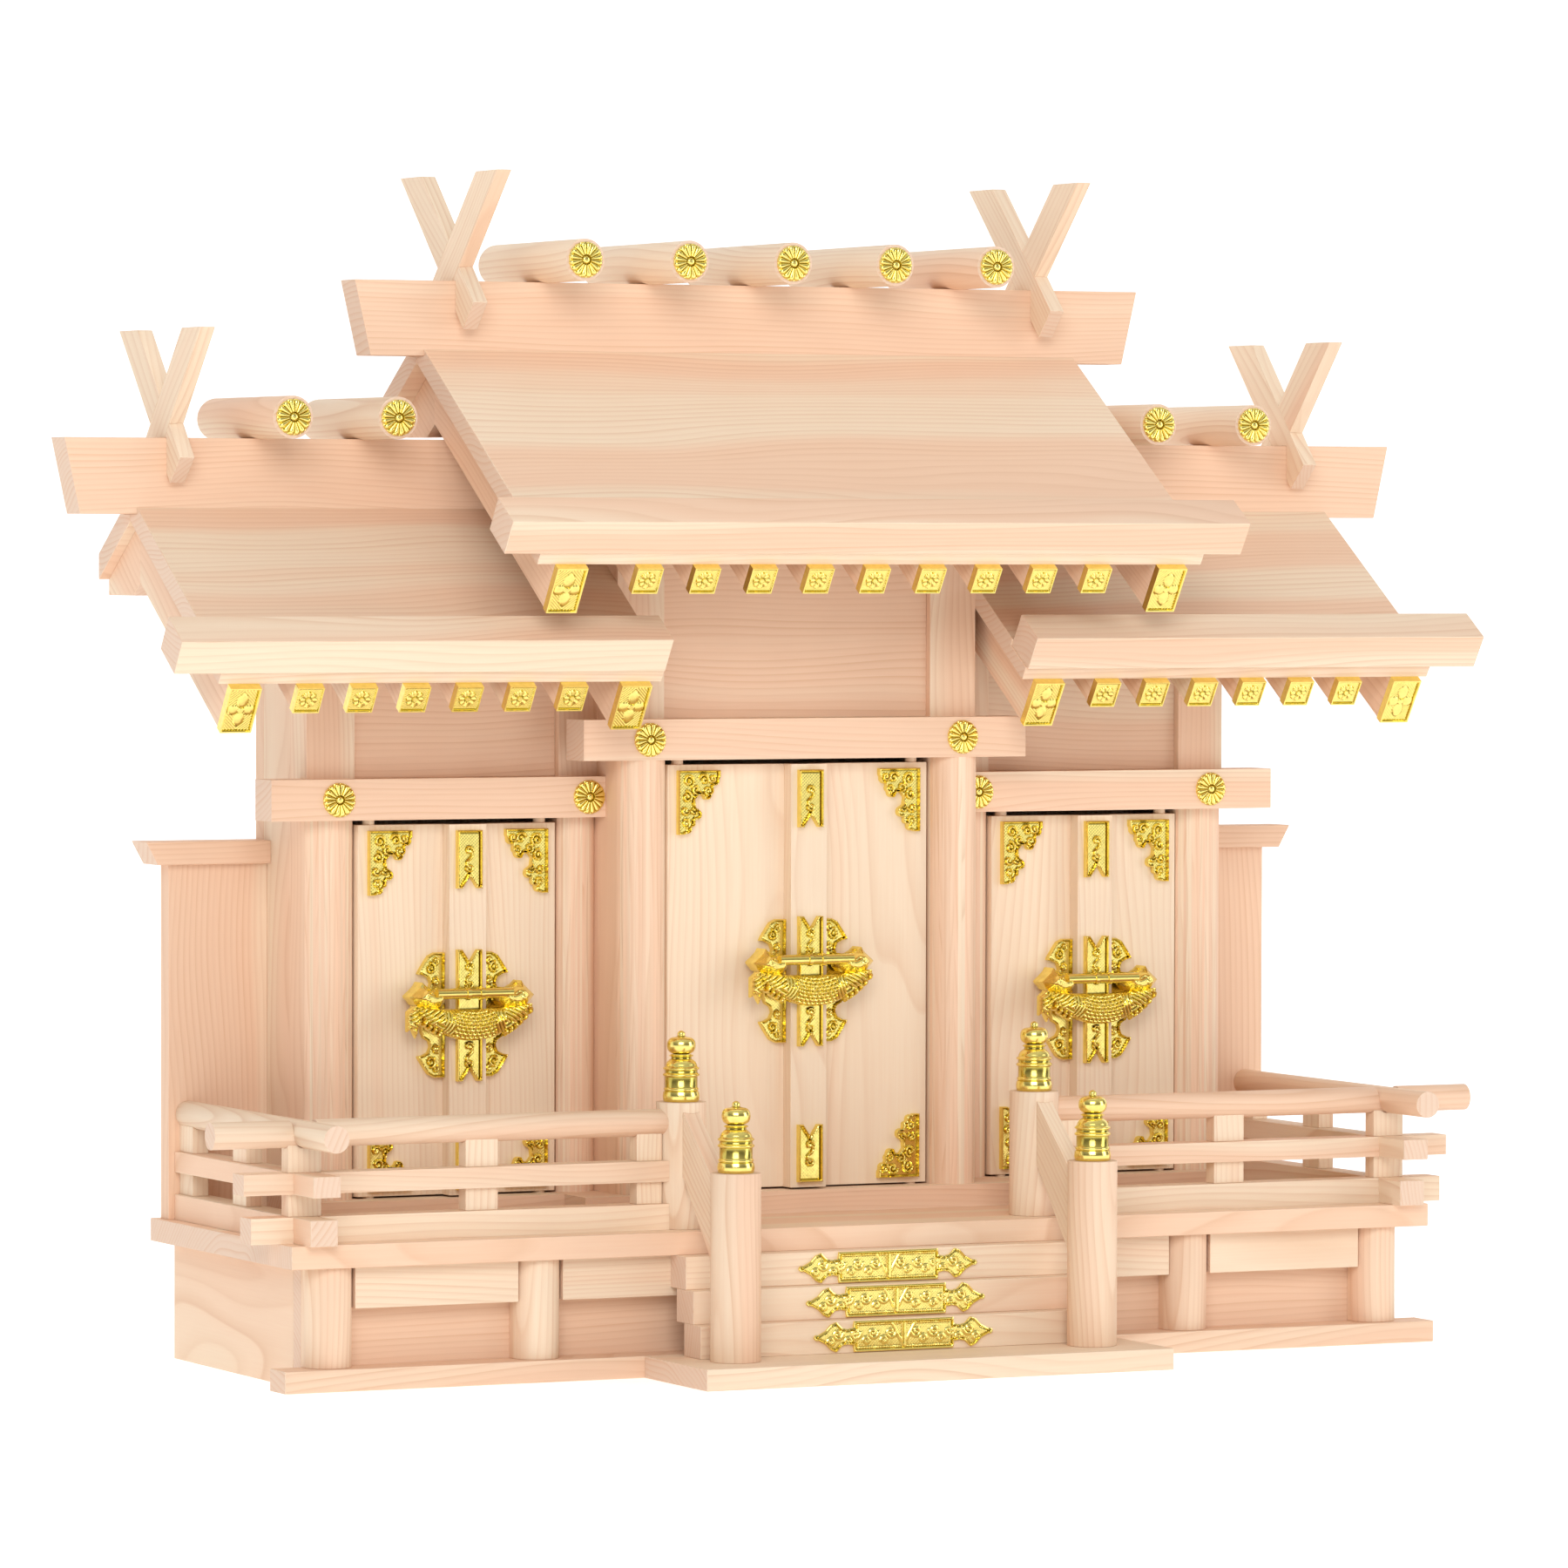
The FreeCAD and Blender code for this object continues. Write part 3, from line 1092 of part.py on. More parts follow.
def ridge_logs(centre_ridge, side_ridge, flowers):
    """Round logs across the ridge boards, gilt discs on their front ends, and the header flowers."""
    logs = []
    discs = []
    rows = [("centre", f"centre_log_pitch * {index}", index > 0) for index in range(CENTRE_LOGS)]
    rows += [("side", f"side_log_first + side_log_pitch * {index}", True) for index in range(SIDE_LOGS)]
    for index, (roof, place, twice) in enumerate(rows):
        height = f"{roof}_crest + log_radius - log_sink"
        start = f"{roof}_ridge_y - {roof}_log_half"
        bar = rod(f"log_bar_{index}", "log_radius", place, (start, f"{roof}_ridge_y + {roof}_log_half"), height)
        log = without(f"log_{index}", bar, [centre_ridge if roof == "centre" else side_ridge])
        disc = rod(f"disc_{index}", "disc_radius", place, (f"{start} - flower_thick", start), height)
        logs += pair(log) if twice else [log]
        discs += pair(disc) if twice else [disc]
    node("ridge_logs", logs)
    node("log_discs", discs)
    gilt = []
    for flower in flowers:
        gilt += pair(flower)
    node("header_flowers", gilt)


def fork_board(name, roof, lean, start, length):
    """One slanted board of a fork, tip cut level and leg cut square."""
    pitch = f"{roof}_fork_angle"
    crossing = f"{roof}_crest + fork_cross"
    tip = f"(fork_rise - fork_cross) / tan({pitch})"
    cut = f"fork_wide / (2 * sin({pitch}))"
    leg_run = f"{roof}_fork_leg * cos({pitch})"
    leg_drop = f"{roof}_fork_leg * sin({pitch})"
    skew_run = f"fork_wide / 2 * sin({pitch})"
    skew_rise = f"fork_wide / 2 * cos({pitch})"
    rows = ((f"{tip} + {cut}", f"{roof}_crest + fork_rise"),
            (f"{tip} - {cut}", f"{roof}_crest + fork_rise"),
            (f"-({leg_run}) - {skew_run}", f"{crossing} - {leg_drop} + {skew_rise}"),
            (f"-({leg_run}) + {skew_run}", f"{crossing} - {leg_drop} - {skew_rise}"))
    corners = [(f"{roof}_ridge_y + {lean} * ({run})", rise) for run, rise in rows]
    return profile(name, "YZ_Plane", corners, start, length)


def forks(centre_ridge, side_ridge):
    """Crossed boards astride the ridge ends, halved where they cross."""
    fronts = []
    backs = []
    for roof, ridge in (("centre", centre_ridge), ("side", side_ridge)):
        inner = f"{roof}_fork_x - fork_thick / 2"
        outer = f"{roof}_fork_x"
        front = fork_board(roof + "_fork_front_bar", roof, "(-1)", inner, "fork_thick")
        back = fork_board(roof + "_fork_back_bar", roof, "1", inner, "fork_thick")
        front_space = fork_board(roof + "_front_space", roof, "(-1)", outer, "fork_thick / 2")
        back_space = fork_board(roof + "_back_space", roof, "1", inner, "fork_thick / 2")
        fronts += pair(without(roof + "_fork_front", front, [back_space, ridge]))
        backs += pair(without(roof + "_fork_back", back, [front_space, ridge]))
    node("fork_front_boards", fronts)
    node("fork_back_boards", backs)


def leaf(cell, middle, half, front, high, hand):
    """One door leaf with its rounded hinge edge and two pivot pins."""
    name = f"{cell}_leaf_{'left' if hand == LEFT else 'right'}"
    rise = ("floor_top + leaf_gap", high)
    pin_x = from_side(middle, hand, f"{half} - pin_in", "0")[0 if hand == RIGHT else 1]
    pin_y = f"{front} + pin_back"
    board = box(name + "_board", from_side(middle, hand, "seam_gap", f"{half} - pin_in"),
                (front, f"{front} + leaf_thick"), rise)
    edge = box(name + "_edge", from_side(middle, hand, f"{half} - pin_in", f"{half} - leaf_gap"),
               (front, f"{front} + leaf_thick"), rise)
    knuckle = rod(name + "_knuckle", "pin_in - leaf_gap", pin_x, pin_y, rise)
    low_pin = rod(name + "_low_pin", "pin_radius", pin_x, pin_y, ("floor_top - pin_long", "floor_top + leaf_gap"))
    high_pin = rod(name + "_high_pin", "pin_radius", pin_x, pin_y, (high, f"{high} + leaf_head + pin_long"))
    rounded = shared(name + "_rounded", edge, knuckle)
    node(name, [joined(name + "_solid", [board, rounded, low_pin, high_pin])])


def corner_plate(name, middle, half, front, rise, hand, down):
    """A gilt corner plate with two arms and scalloped ends."""
    edge = f"{half} - leaf_gap - corner_in"
    along = (f"{front} - gilt_thick", front)
    low, high = rise
    if down:
        arm_rise = (f"{high} - corner_band", high)
        lobe_near = f"{high} - corner_lobe"
        lobe_far = f"{low} + corner_lobe"
        knee = f"{high} - corner_band"
    else:
        arm_rise = (low, f"{low} + corner_band")
        lobe_near = f"{low} + corner_lobe"
        lobe_far = f"{high} - corner_lobe"
        knee = f"{low} + corner_band"
    arm = box(name + "_arm", from_side(middle, hand, f"{edge} - corner_wide + corner_lobe", edge), along, arm_rise)
    rest = (f"{low} + corner_lobe", high) if down else (low, f"{high} - corner_lobe")
    upright = box(name + "_upright", from_side(middle, hand, f"{edge} - corner_band", edge), along, rest)
    pieces = [arm, upright]
    spots = ((f"{edge} - corner_wide + corner_lobe", lobe_near), (f"{edge} - corner_lobe", lobe_far),
             (f"{edge} - corner_band", knee))
    for index, (reach, height) in enumerate(spots):
        across = from_side(middle, hand, reach, "0")[0 if hand == RIGHT else 1]
        radius = "corner_knee" if index == len(spots) - 1 else "corner_lobe"
        pieces.append(rod(f"{name}_lobe_{index}", radius, across, along, height))
    return joined(name, pieces)


def wing_plate(name, middle, front, centre, hand):
    """A gilt half plate beside the cover strip, with side lobes."""
    near = "batten_left" if hand == LEFT else "batten_right"
    along = (f"{front} - gilt_thick", front)
    body = box(name + "_body", from_side(middle, hand, near, f"{near} + wing_plate"), along,
               even(centre, "wing_plate_high / 2"))
    pieces = [body]
    across = from_side(middle, hand, f"{near} + wing_plate", "0")[0 if hand == RIGHT else 1]
    for index, share in enumerate(LOBE_SHARES):
        height = f"{centre} + {share} * wing_plate_high"
        pieces.append(rod(f"{name}_lobe_{index}", "wing_lobe", across, along, height))
    return joined(name, pieces)


def strip_plate(name, middle, front, rise, cuts):
    """A gilt plate on the cover strip with swallowtail ends."""
    face = f"{front} - batten_thick"
    centre = f"{middle} + (batten_right - batten_left) / 2"
    low, high = rise
    notch = "strip_plate / 2"
    corners = [(f"{centre} - strip_plate / 2", low)]
    if "low" in cuts:
        corners.append((centre, f"{low} + {notch}"))
    corners += [(f"{centre} + strip_plate / 2", low), (f"{centre} + strip_plate / 2", high)]
    if "high" in cuts:
        corners.append((centre, f"{high} - {notch}"))
    corners.append((f"{centre} - strip_plate / 2", high))
    return profile(name, "XZ_Plane", corners, face, "gilt_thick")


def fish_lock(cell, middle, front, centre):
    """A fish-shaped lock: a curved belly, two end blocks and a bar."""
    face = f"{front} - batten_thick - gilt_thick"
    along = (f"{face} - lock_thick", face)
    axis = f"{middle} + (batten_right - batten_left) / 2"
    name = cell + "_lock"
    bow = "((lock_half * lock_half + lock_body * lock_body) / (2 * lock_body))"
    outer = rod(name + "_outer", bow, axis, along, f"{centre} - lock_belly + {bow}")
    slice_space = box(name + "_slice", even(axis, "lock_half"), along,
                      (f"{centre} - lock_belly", f"{centre} - lock_belly + lock_body"))
    belly = shared(name + "_belly", outer, slice_space)
    pieces = [belly]
    bar = rod(name + "_bar", "lock_bar", even(axis, "lock_half - lock_end_wide / 2"),
              f"{face} - lock_thick / 2", f"{centre} + lock_rise")
    pieces.append(bar)
    for hand in (LEFT, RIGHT):
        across = from_side(axis, hand, "lock_half - lock_end_wide", "lock_half")
        block = box(f"{name}_end_{hand + 1}", across, (f"{face} - lock_thick", f"{front} - gilt_thick - lock_free"),
                    (f"{centre} - lock_belly + lock_body", f"{centre} + lock_rise + lock_end_high / 2"))
        pieces.append(block)
    node(name, [joined(name + "_solid", pieces)])


def doors():
    """Two leaves with their cover strip, plates and lock for each cell."""
    for cell, middle, half, front in CELLS:
        roof = "centre" if cell == "centre" else "side"
        high = f"{roof}_lintel - leaf_head"
        low = "floor_top + leaf_gap"
        centre = f"(floor_top + leaf_gap + {high}) / 2 - fish_drop"
        for hand in (LEFT, RIGHT):
            leaf(cell, middle, half, front, high, hand)
        strip = box(cell + "_strip", (f"{middle} - batten_left", f"{middle} + batten_right"),
                    (f"{front} - batten_thick", front), (low, high))
        relief = box(cell + "_relief", (f"{middle} - seam_gap", f"{middle} + batten_right"),
                     (f"{front} - batten_free", front), (low, high))
        node(cell + "_batten", [without(cell + "_strip_relieved", strip, [relief])])
        for hand in (LEFT, RIGHT):
            word = "left" if hand == LEFT else "right"
            name = f"{cell}_fittings_{word}"
            pieces = [corner_plate(name + "_top", middle, half, front,
                                   (f"{high} - corner_edge - corner_high", f"{high} - corner_edge"), hand, True),
                      corner_plate(name + "_low", middle, half, front,
                                   (f"{low} + corner_edge", f"{low} + corner_edge + corner_high"), hand, False),
                      wing_plate(name + "_wing", middle, front, centre, hand)]
            if hand == LEFT:
                pieces.append(strip_plate(name + "_strip_top", middle, front,
                                          (f"{high} - corner_edge - strip_end", f"{high} - corner_edge"), ("low",)))
                pieces.append(strip_plate(name + "_strip_low", middle, front,
                                          (f"{low} + corner_edge", f"{low} + corner_edge + strip_end"), ("high",)))
                pieces.append(strip_plate(name + "_strip_mid", middle, front,
                                          even(centre, "strip_mid / 2"), ("low", "high")))
            node(name, pieces)
        fish_lock(cell, middle, front, centre)


CELLS = (("centre", "0", "centre_half", "centre_front"),
         ("left", "-side_mid", "side_half", "side_front"),
         ("right", "side_mid", "side_half", "side_front"))

base()
stair()
upper_post = stair_posts()
railings(upper_post)
wings()
gilt_flowers = cells()
middle_ridge, outer_ridge = roofs()
ridge_logs(middle_ridge, outer_ridge, gilt_flowers)
forks(middle_ridge, outer_ridge)
doors()
doc.recompute()

for item in doc.Objects:
    if "Invalid" in item.State or "Error" in item.State:
        raise RuntimeError(f"{item.Name} has not been built")
os.makedirs("parts", exist_ok=True)
for item in nodes:
    if item.Shape.isNull() or not item.Shape.isValid():
        raise RuntimeError(f"{item.Label} is not valid")
    item.Shape.exportStep(f"parts/{item.Label}.step")
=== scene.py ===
import math

import bmesh
import bpy
import numpy as np
from mathutils import Matrix, Vector


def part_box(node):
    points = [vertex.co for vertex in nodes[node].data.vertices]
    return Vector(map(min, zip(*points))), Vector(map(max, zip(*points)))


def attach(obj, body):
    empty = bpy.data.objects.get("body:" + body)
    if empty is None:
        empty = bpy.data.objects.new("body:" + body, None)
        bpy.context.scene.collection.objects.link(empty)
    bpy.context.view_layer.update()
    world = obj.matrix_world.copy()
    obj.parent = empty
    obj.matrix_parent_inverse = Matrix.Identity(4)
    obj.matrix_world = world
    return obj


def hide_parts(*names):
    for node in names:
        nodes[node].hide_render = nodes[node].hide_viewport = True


# The looks of a wooden household shrine: bare cypress boards and gilt fittings
# Metres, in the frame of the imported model: X right, Y back, Z up

MM = 0.001

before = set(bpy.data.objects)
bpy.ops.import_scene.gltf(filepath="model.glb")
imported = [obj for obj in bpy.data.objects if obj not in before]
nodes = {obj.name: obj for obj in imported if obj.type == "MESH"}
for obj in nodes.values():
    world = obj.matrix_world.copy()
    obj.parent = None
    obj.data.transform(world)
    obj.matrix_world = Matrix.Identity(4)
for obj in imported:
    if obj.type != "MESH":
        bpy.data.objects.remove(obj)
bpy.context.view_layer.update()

# Wood colours, linear light
CREAM = (0.875, 0.705, 0.530, 1)
PEACH = (0.860, 0.600, 0.430, 1)
LINE = (0.660, 0.370, 0.205, 1)
END_GRAIN = (0.760, 0.570, 0.440, 1)

# Growth rings: their width, the log's core beside the board, and how they wander
RING = 2.6 * MM
CORE_NEAR = 30 * MM
CORE_SPREAD = 90 * MM
RING_SWAY = 26 * MM
RING_DRIFT = 5.0
WAVES_ALONG = 4.5
WAVES_ACROSS = 16.0
SHIFT_ALONG = 7.0
SHIFT_ACROSS = 50.0

# How dark a ring is from one side to the other, and how faint the faintest ring is
RING_LINE = ((0.0, 0.12), (0.12, 0.0), (0.45, 0.05), (0.78, 0.55), (0.93, 1.0), (1.0, 0.35))
FAINT_RING = 0.35
LINE_SHARE = 0.62
END_LINE_SHARE = 0.60

# Bands of redder wood, board tones, fibres, and where a face counts as end grain
BAND_PACE = 34.0
BAND_SHIFT = 90.0
BAND_STEP = ((0.40, 0.0), (0.58, 1.0))
DARK_BOARD = 0.93
FIBRE_ALONG = 28.0
FIBRE_ACROSS = 1100.0
FIBRE_STEP = ((0.3, 0.0), (0.7, 1.0))
FIBRE_SHADE = 0.10
FIBRE_BUMP = 0.22
FIBRE_HEIGHT = 0.07 * MM
END_STEP = ((0.72, 0.0), (0.86, 1.0))
WOOD_IOR = 1.42
WOOD_SHEEN = 0.30
WOOD_ROUGH = 0.50
WOOD_ROUGHER = 0.10

# How strongly the rings show
BOARD_CONTRAST = 0.75
DOOR_CONTRAST = 0.60

# Joinery: edges eased as a plane leaves them
EDGE_ROUND = 0.35 * MM
EDGE_SEGMENTS = 2
EDGE_FROM = math.radians(35)
WELD = 0.002 * MM
FLAT_ANGLE = math.radians(0.5)

# Gilt: colours in linear light, its slight unevenness, and painted shade that darkens it in its hollows
GOLD = (0.960, 0.800, 0.235, 1)
GOLD_DEEP = (0.370, 0.270, 0.018, 1)
GILT_WAVES = 420
GILT_STEP = ((0.35, 0.0), (0.7, 1.0))
GILT_TONE = 0.14
# Painted shade: where pointiness shows a hollow, the gold turns toward the deep gold
HOLLOW_SHADE_STEP = ((0.43, 1.0), (0.50, 0.0))
HOLLOW_SHADE_DEPTH = 0.85
GILT_ROUGH = 0.16
GILT_ROUGHER = 0.5
GILT_BUMP = 0.10
GILT_HEIGHT = 0.15 * MM

# Directions and angles of the shrine's boards
RIGHT_WAY = (1, 0, 0)
UP_WAY = (0, 0, 1)
BACK_WAY = (0, 1, 0)
ROOF_ANGLE = math.radians(34)
STAIR_ANGLE = math.radians(40)
FORK_ANGLE = math.radians(44.5)

# Round-fronted corner posts, and the cells' floors under them
POST_FACETS = 20
CENTRE_BULGE = 10.3 * MM
CENTRE_SHOULDER = 1.6 * MM
SIDE_BULGE = 3.0 * MM
SIDE_SHOULDER = 2.4 * MM
FLOOR_LIP = 2.0 * MM
FLOOR_SIDE = 12.9 * MM
FLOOR_MORE = 10.0 * MM
FLOOR_WIDER = 8.5 * MM
SAME_PLACE = 0.1 * MM
POST_PEACH = 0.55
CENTRE_POST_SEED = 31.0
SIDE_POST_SEED = 33.0
CELL_FLOOR_SEED = 35.0

# Gilt plates, in millimetres in their own plane: a runs across, b up, and the height stands out of it
GRID = 0.38
FISH_GRID = 0.36
SMALL_CAP_GRID = 0.30
LARGE_CAP_GRID = 0.34
EDGE_KEEP = 0.75
EDGE_PULL = 0.25
SLOPE_STEP = 0.05
SHARP = math.radians(50)
FAR = 1e9
TINY = 1e-9

# A pressed plate's levels, as shares of its thickness, and its beads and stems in millimetres
GROUND = 0.42
BEAD = 0.22
STEM_FOOT = 0.45
STEM_RISE = 0.42
STEM_WIDE = 0.62
RIM_EDGE = 0.86

# Where a plate's field begins, its rim ends and its edge is soft, as shares of the rim's width
FIELD_FROM = (0.85, 1.25)
RIM_UNTIL = (0.7, 1.05)
RIM_SOFT = 0.4

# Scrolls: how far they wind in, and their points
SCROLL_IN = 0.86
SCROLL_POINTS = 26

# Rafter caps: thickness, how far they overlap the rafter's end, and their skirt, in millimetres
CAP_THICK = 1.5
CAP_OVER = 0.3
CAP_SKIRT = 2.6
CAP_BEAD = 0.14
CAP_PITCH = 1.3
CAP_FLOWER = 0.33
CAP_PETALS = 4
HATCH_PITCH = 1.5
HEART = 1.5
LARGE_CAP_FROM = 18

# The flowers' petals, as numbers and as shares of the radius
PETALS = 16
PETAL_POINTS = 10
FLOWER_RINGS = 20
SECOND_ROW = 0.985
BOSS = 0.20
BOSS_GROOVE = 1.25

# The flowers' levels, as shares of their thickness: where each form starts and how much it rises
PETAL_LEVEL = (0.50, 0.45)
PETAL_TIP = 0.45
SECOND_LEVEL = (0.26, 0.16)
BOSS_LEVEL = 0.72
GROOVE_LEVEL = 0.42
FLOWER_CENTRE = 0.95

# Door plates and the fish locks
CORNER_PLATE_MOST = 45
STRIP_AHEAD = 2 * MM
LOCK_BLOCK_HALF = 5.5 * MM
LOCK_THICK = 7.6 * MM
LOCK_BAR = 2.5
LOCK_BAR_HALF = 19
LOCK_BAR_DEPTH = 0.42
LOCK_COLLAR = 3.4
COLLAR_WIDER = 1.25
COLLAR_HALF = 0.9
COLLAR_FOOT = 1.0

# The fish in millimetres: the bow of its belly, its lowest and highest line and its half length
FISH_BOW = 35.8
FISH_LOW = -22
FISH_HIGH = -6
FISH_HALF = 33
FISH_BODY_END = 10.5
FISH_GILL_END = 15.5
FEATHERS = 6
FEATHER_STEP = 2.5
SCALE_ROW = 1.75
SCALE_WIDE = 2.3
SCALE_HIGH = 1.25
GILL_HIGH = 1.1
GILL_PACE = 1.9
BARB_HIGH = 1.2
BARB_PACE = 1.1

# Turned forms
LATHE_SIDES = 40
BAR_SIDES = 8

# Floor, in metres, and its white
FLOOR_REACH = 60.0
FLOOR_TURN = 1.2
FLOOR_BEND = 3.0
FLOOR_RISE = 9.0
FLOOR_STEPS = 24
FLOOR_WHITE = (0.93, 0.93, 0.93, 1)
FLOOR_ROUGH = 0.9
FLOOR_SHEEN = 0.1
FLOOR_GLOW = 0.42
WHITE = (1, 1, 1, 1)

# Studio lights by name: place, width, height and power
LIGHTS = {
    "key": ((-1.5, -3.0, 1.7), 2.2, 1.6, 59),
    "fill": ((2.6, -1.8, 0.9), 1.2, 1.8, 22),
    "top": ((0, 0.2, 3.0), 2.6, 2.0, 5),
}
LIGHT_AIM = (0, 0, 0.25)

# Sky by the rise of the view, from the horizon to overhead
SKY = ((0.0, 0.95), (0.05, 0.95), (0.10, 0.17), (0.75, (1, 0.99, 0.98, 1)))
SKY_STRENGTH = 0.62

# Camera, fitted to the photograph
CAMERA_PLACE = (-1.6959, -3.4776, 0.3839)
CAMERA_TURN = 25.72
CAMERA_DROP = 1.78
CAMERA_ROLL = 0.13
CAMERA_LENS = 190.3
CAMERA_FILM = 36
CAMERA_SHIFT = (0.0050, 0.0044)
CAMERA_NEAR = 0.1
CAMERA_FAR = 100

# Sockets of a colour Mix node: its share, its two colours and its result
MIX_INPUTS = (0, 6, 7)
MIX_RESULT = 2

# Which way the grain runs in each board, and how much redder wood it has
GRAIN = {
    "front_sill": ("x", 0.50), "base_lower_panel": ("x", 0.75), "base_back": ("x", 0.55),
    "base_upper_boards": ("x", 0.25), "deck_board": ("x", 0.60), "landing_board": ("x", 0.30),
    "stair_steps": ("x", 0.35), "front_rails": ("x", 0.50), "cell_headers": ("x", 0.60),
    "roof_front_boards": ("x", 0.45), "roof_back_boards": ("x", 0.45), "eave_bars": ("x", 0.45),
    "ridge_boards": ("x", 0.80), "upper_panels": ("x", 0.60), "wing_caps": ("x", 0.75),
    "base_side_panels": ("y", 0.40), "side_rails": ("y", 0.40), "ridge_logs": ("y", 0.30),
    "base_posts": ("z", 0.50), "stair_posts": ("z", 0.50), "railing_struts": ("z", 0.35),
    "wing_panels": ("z", 0.70), "cell_side_walls": ("z", 0.50), "cell_backs": ("z", 0.50),
    "stair_handrails": ("stair", 0.35), "roof_rafters": ("slope", 0.60), "end_rafters": ("slope", 0.60),
    "fork_front_boards": ("fork_front", 0.35), "fork_back_boards": ("fork_back", 0.35),
}
SEED_STEP = 1.7
DOOR_SEED = 50
DOOR_SEED_STEP = 2.3
DOOR_PEACH = 0.15


class Tree:
    """A node tree, with short calls that add nodes, join them and reckon."""

    def __init__(self, owner):
        owner.use_nodes = True
        self.tree = owner.node_tree
        self.tree.nodes.clear()

    def add(self, kind, **settings):
        """A shader node with its settings."""
        item = self.tree.nodes.new("ShaderNode" + kind)
        for word, value in settings.items():
            setattr(item, word, value)
        return item

    def put(self, value, socket):
        """Numbers and colours are set on the socket, and sockets are joined to it."""
        if isinstance(value, (int, float, tuple)):
            socket.default_value = value
        else:
            self.tree.links.new(value, socket)

    def calc(self, kind, *values):
        """One arithmetic node."""
        item = self.add("Math", operation=kind)
        for value, socket in zip(values, item.inputs):
            self.put(value, socket)
        return item.outputs[0]

    def mix(self, share, first, second, kind="MIX"):
        """Two colours mixed by a share."""
        item = self.add("Mix", data_type="RGBA", blend_type=kind)
        for value, index in zip((share, first, second), MIX_INPUTS):
            self.put(value, item.inputs[index])
        return item.outputs[MIX_RESULT]

    def ramp(self, value, stops):
        """A ramp with stops of place and colour. A single number is a grey."""
        item = self.add("ValToRGB")
        while len(item.color_ramp.elements) < len(stops):
            item.color_ramp.elements.new(0.5)
        for element, (place, colour) in zip(item.color_ramp.elements, stops):
            element.position = place
            element.color = colour if isinstance(colour, tuple) else (colour, colour, colour, 1)
        self.put(value, item.inputs[0])
        return item.outputs[0]

    def noise(self, value, scale=1, one_way=False):
        """Soft noise over a place, or along one number."""
        item = self.add("TexNoise", noise_dimensions="1D" if one_way else "3D")
        item.inputs["Scale"].default_value = scale
        item.inputs["Detail"].default_value = 1
        self.put(value, item.inputs["W" if one_way else "Vector"])
        return item

    def chance(self, value):
        """White noise by one number."""
        item = self.add("TexWhiteNoise", noise_dimensions="1D")
        self.put(value, item.inputs["W"])
        return item

    def split(self, vector):
        """The three numbers of a vector or a colour."""
        item = self.add("SeparateXYZ")
        self.put(vector, item.inputs[0])
        return item.outputs

    def combine(self, *values):
        """A vector of three numbers."""
        item = self.add("CombineXYZ")
        for value, socket in zip(values, item.inputs):
            self.put(value, socket)
        return item.outputs[0]

    def turned(self, vector, turn):
        """A vector, turned."""
        item = self.add("Mapping")
        item.inputs["Rotation"].default_value = turn
        self.put(vector, item.inputs["Vector"])
        return item.outputs[0]

    def bump(self, height, strength, distance):
        """A surface direction from a height."""
        item = self.add("Bump")
        item.inputs["Strength"].default_value = strength
        item.inputs["Distance"].default_value = distance
        self.put(height, item.inputs["Height"])
        return item.outputs[0]

    def surface(self, values):
        """The shader, with a value for each named socket, and the output."""
        shader = self.add("BsdfPrincipled")
        for word, value in values.items():
            self.put(value, shader.inputs[word])
        self.put(shader.outputs[0], self.add("OutputMaterial").inputs[0])


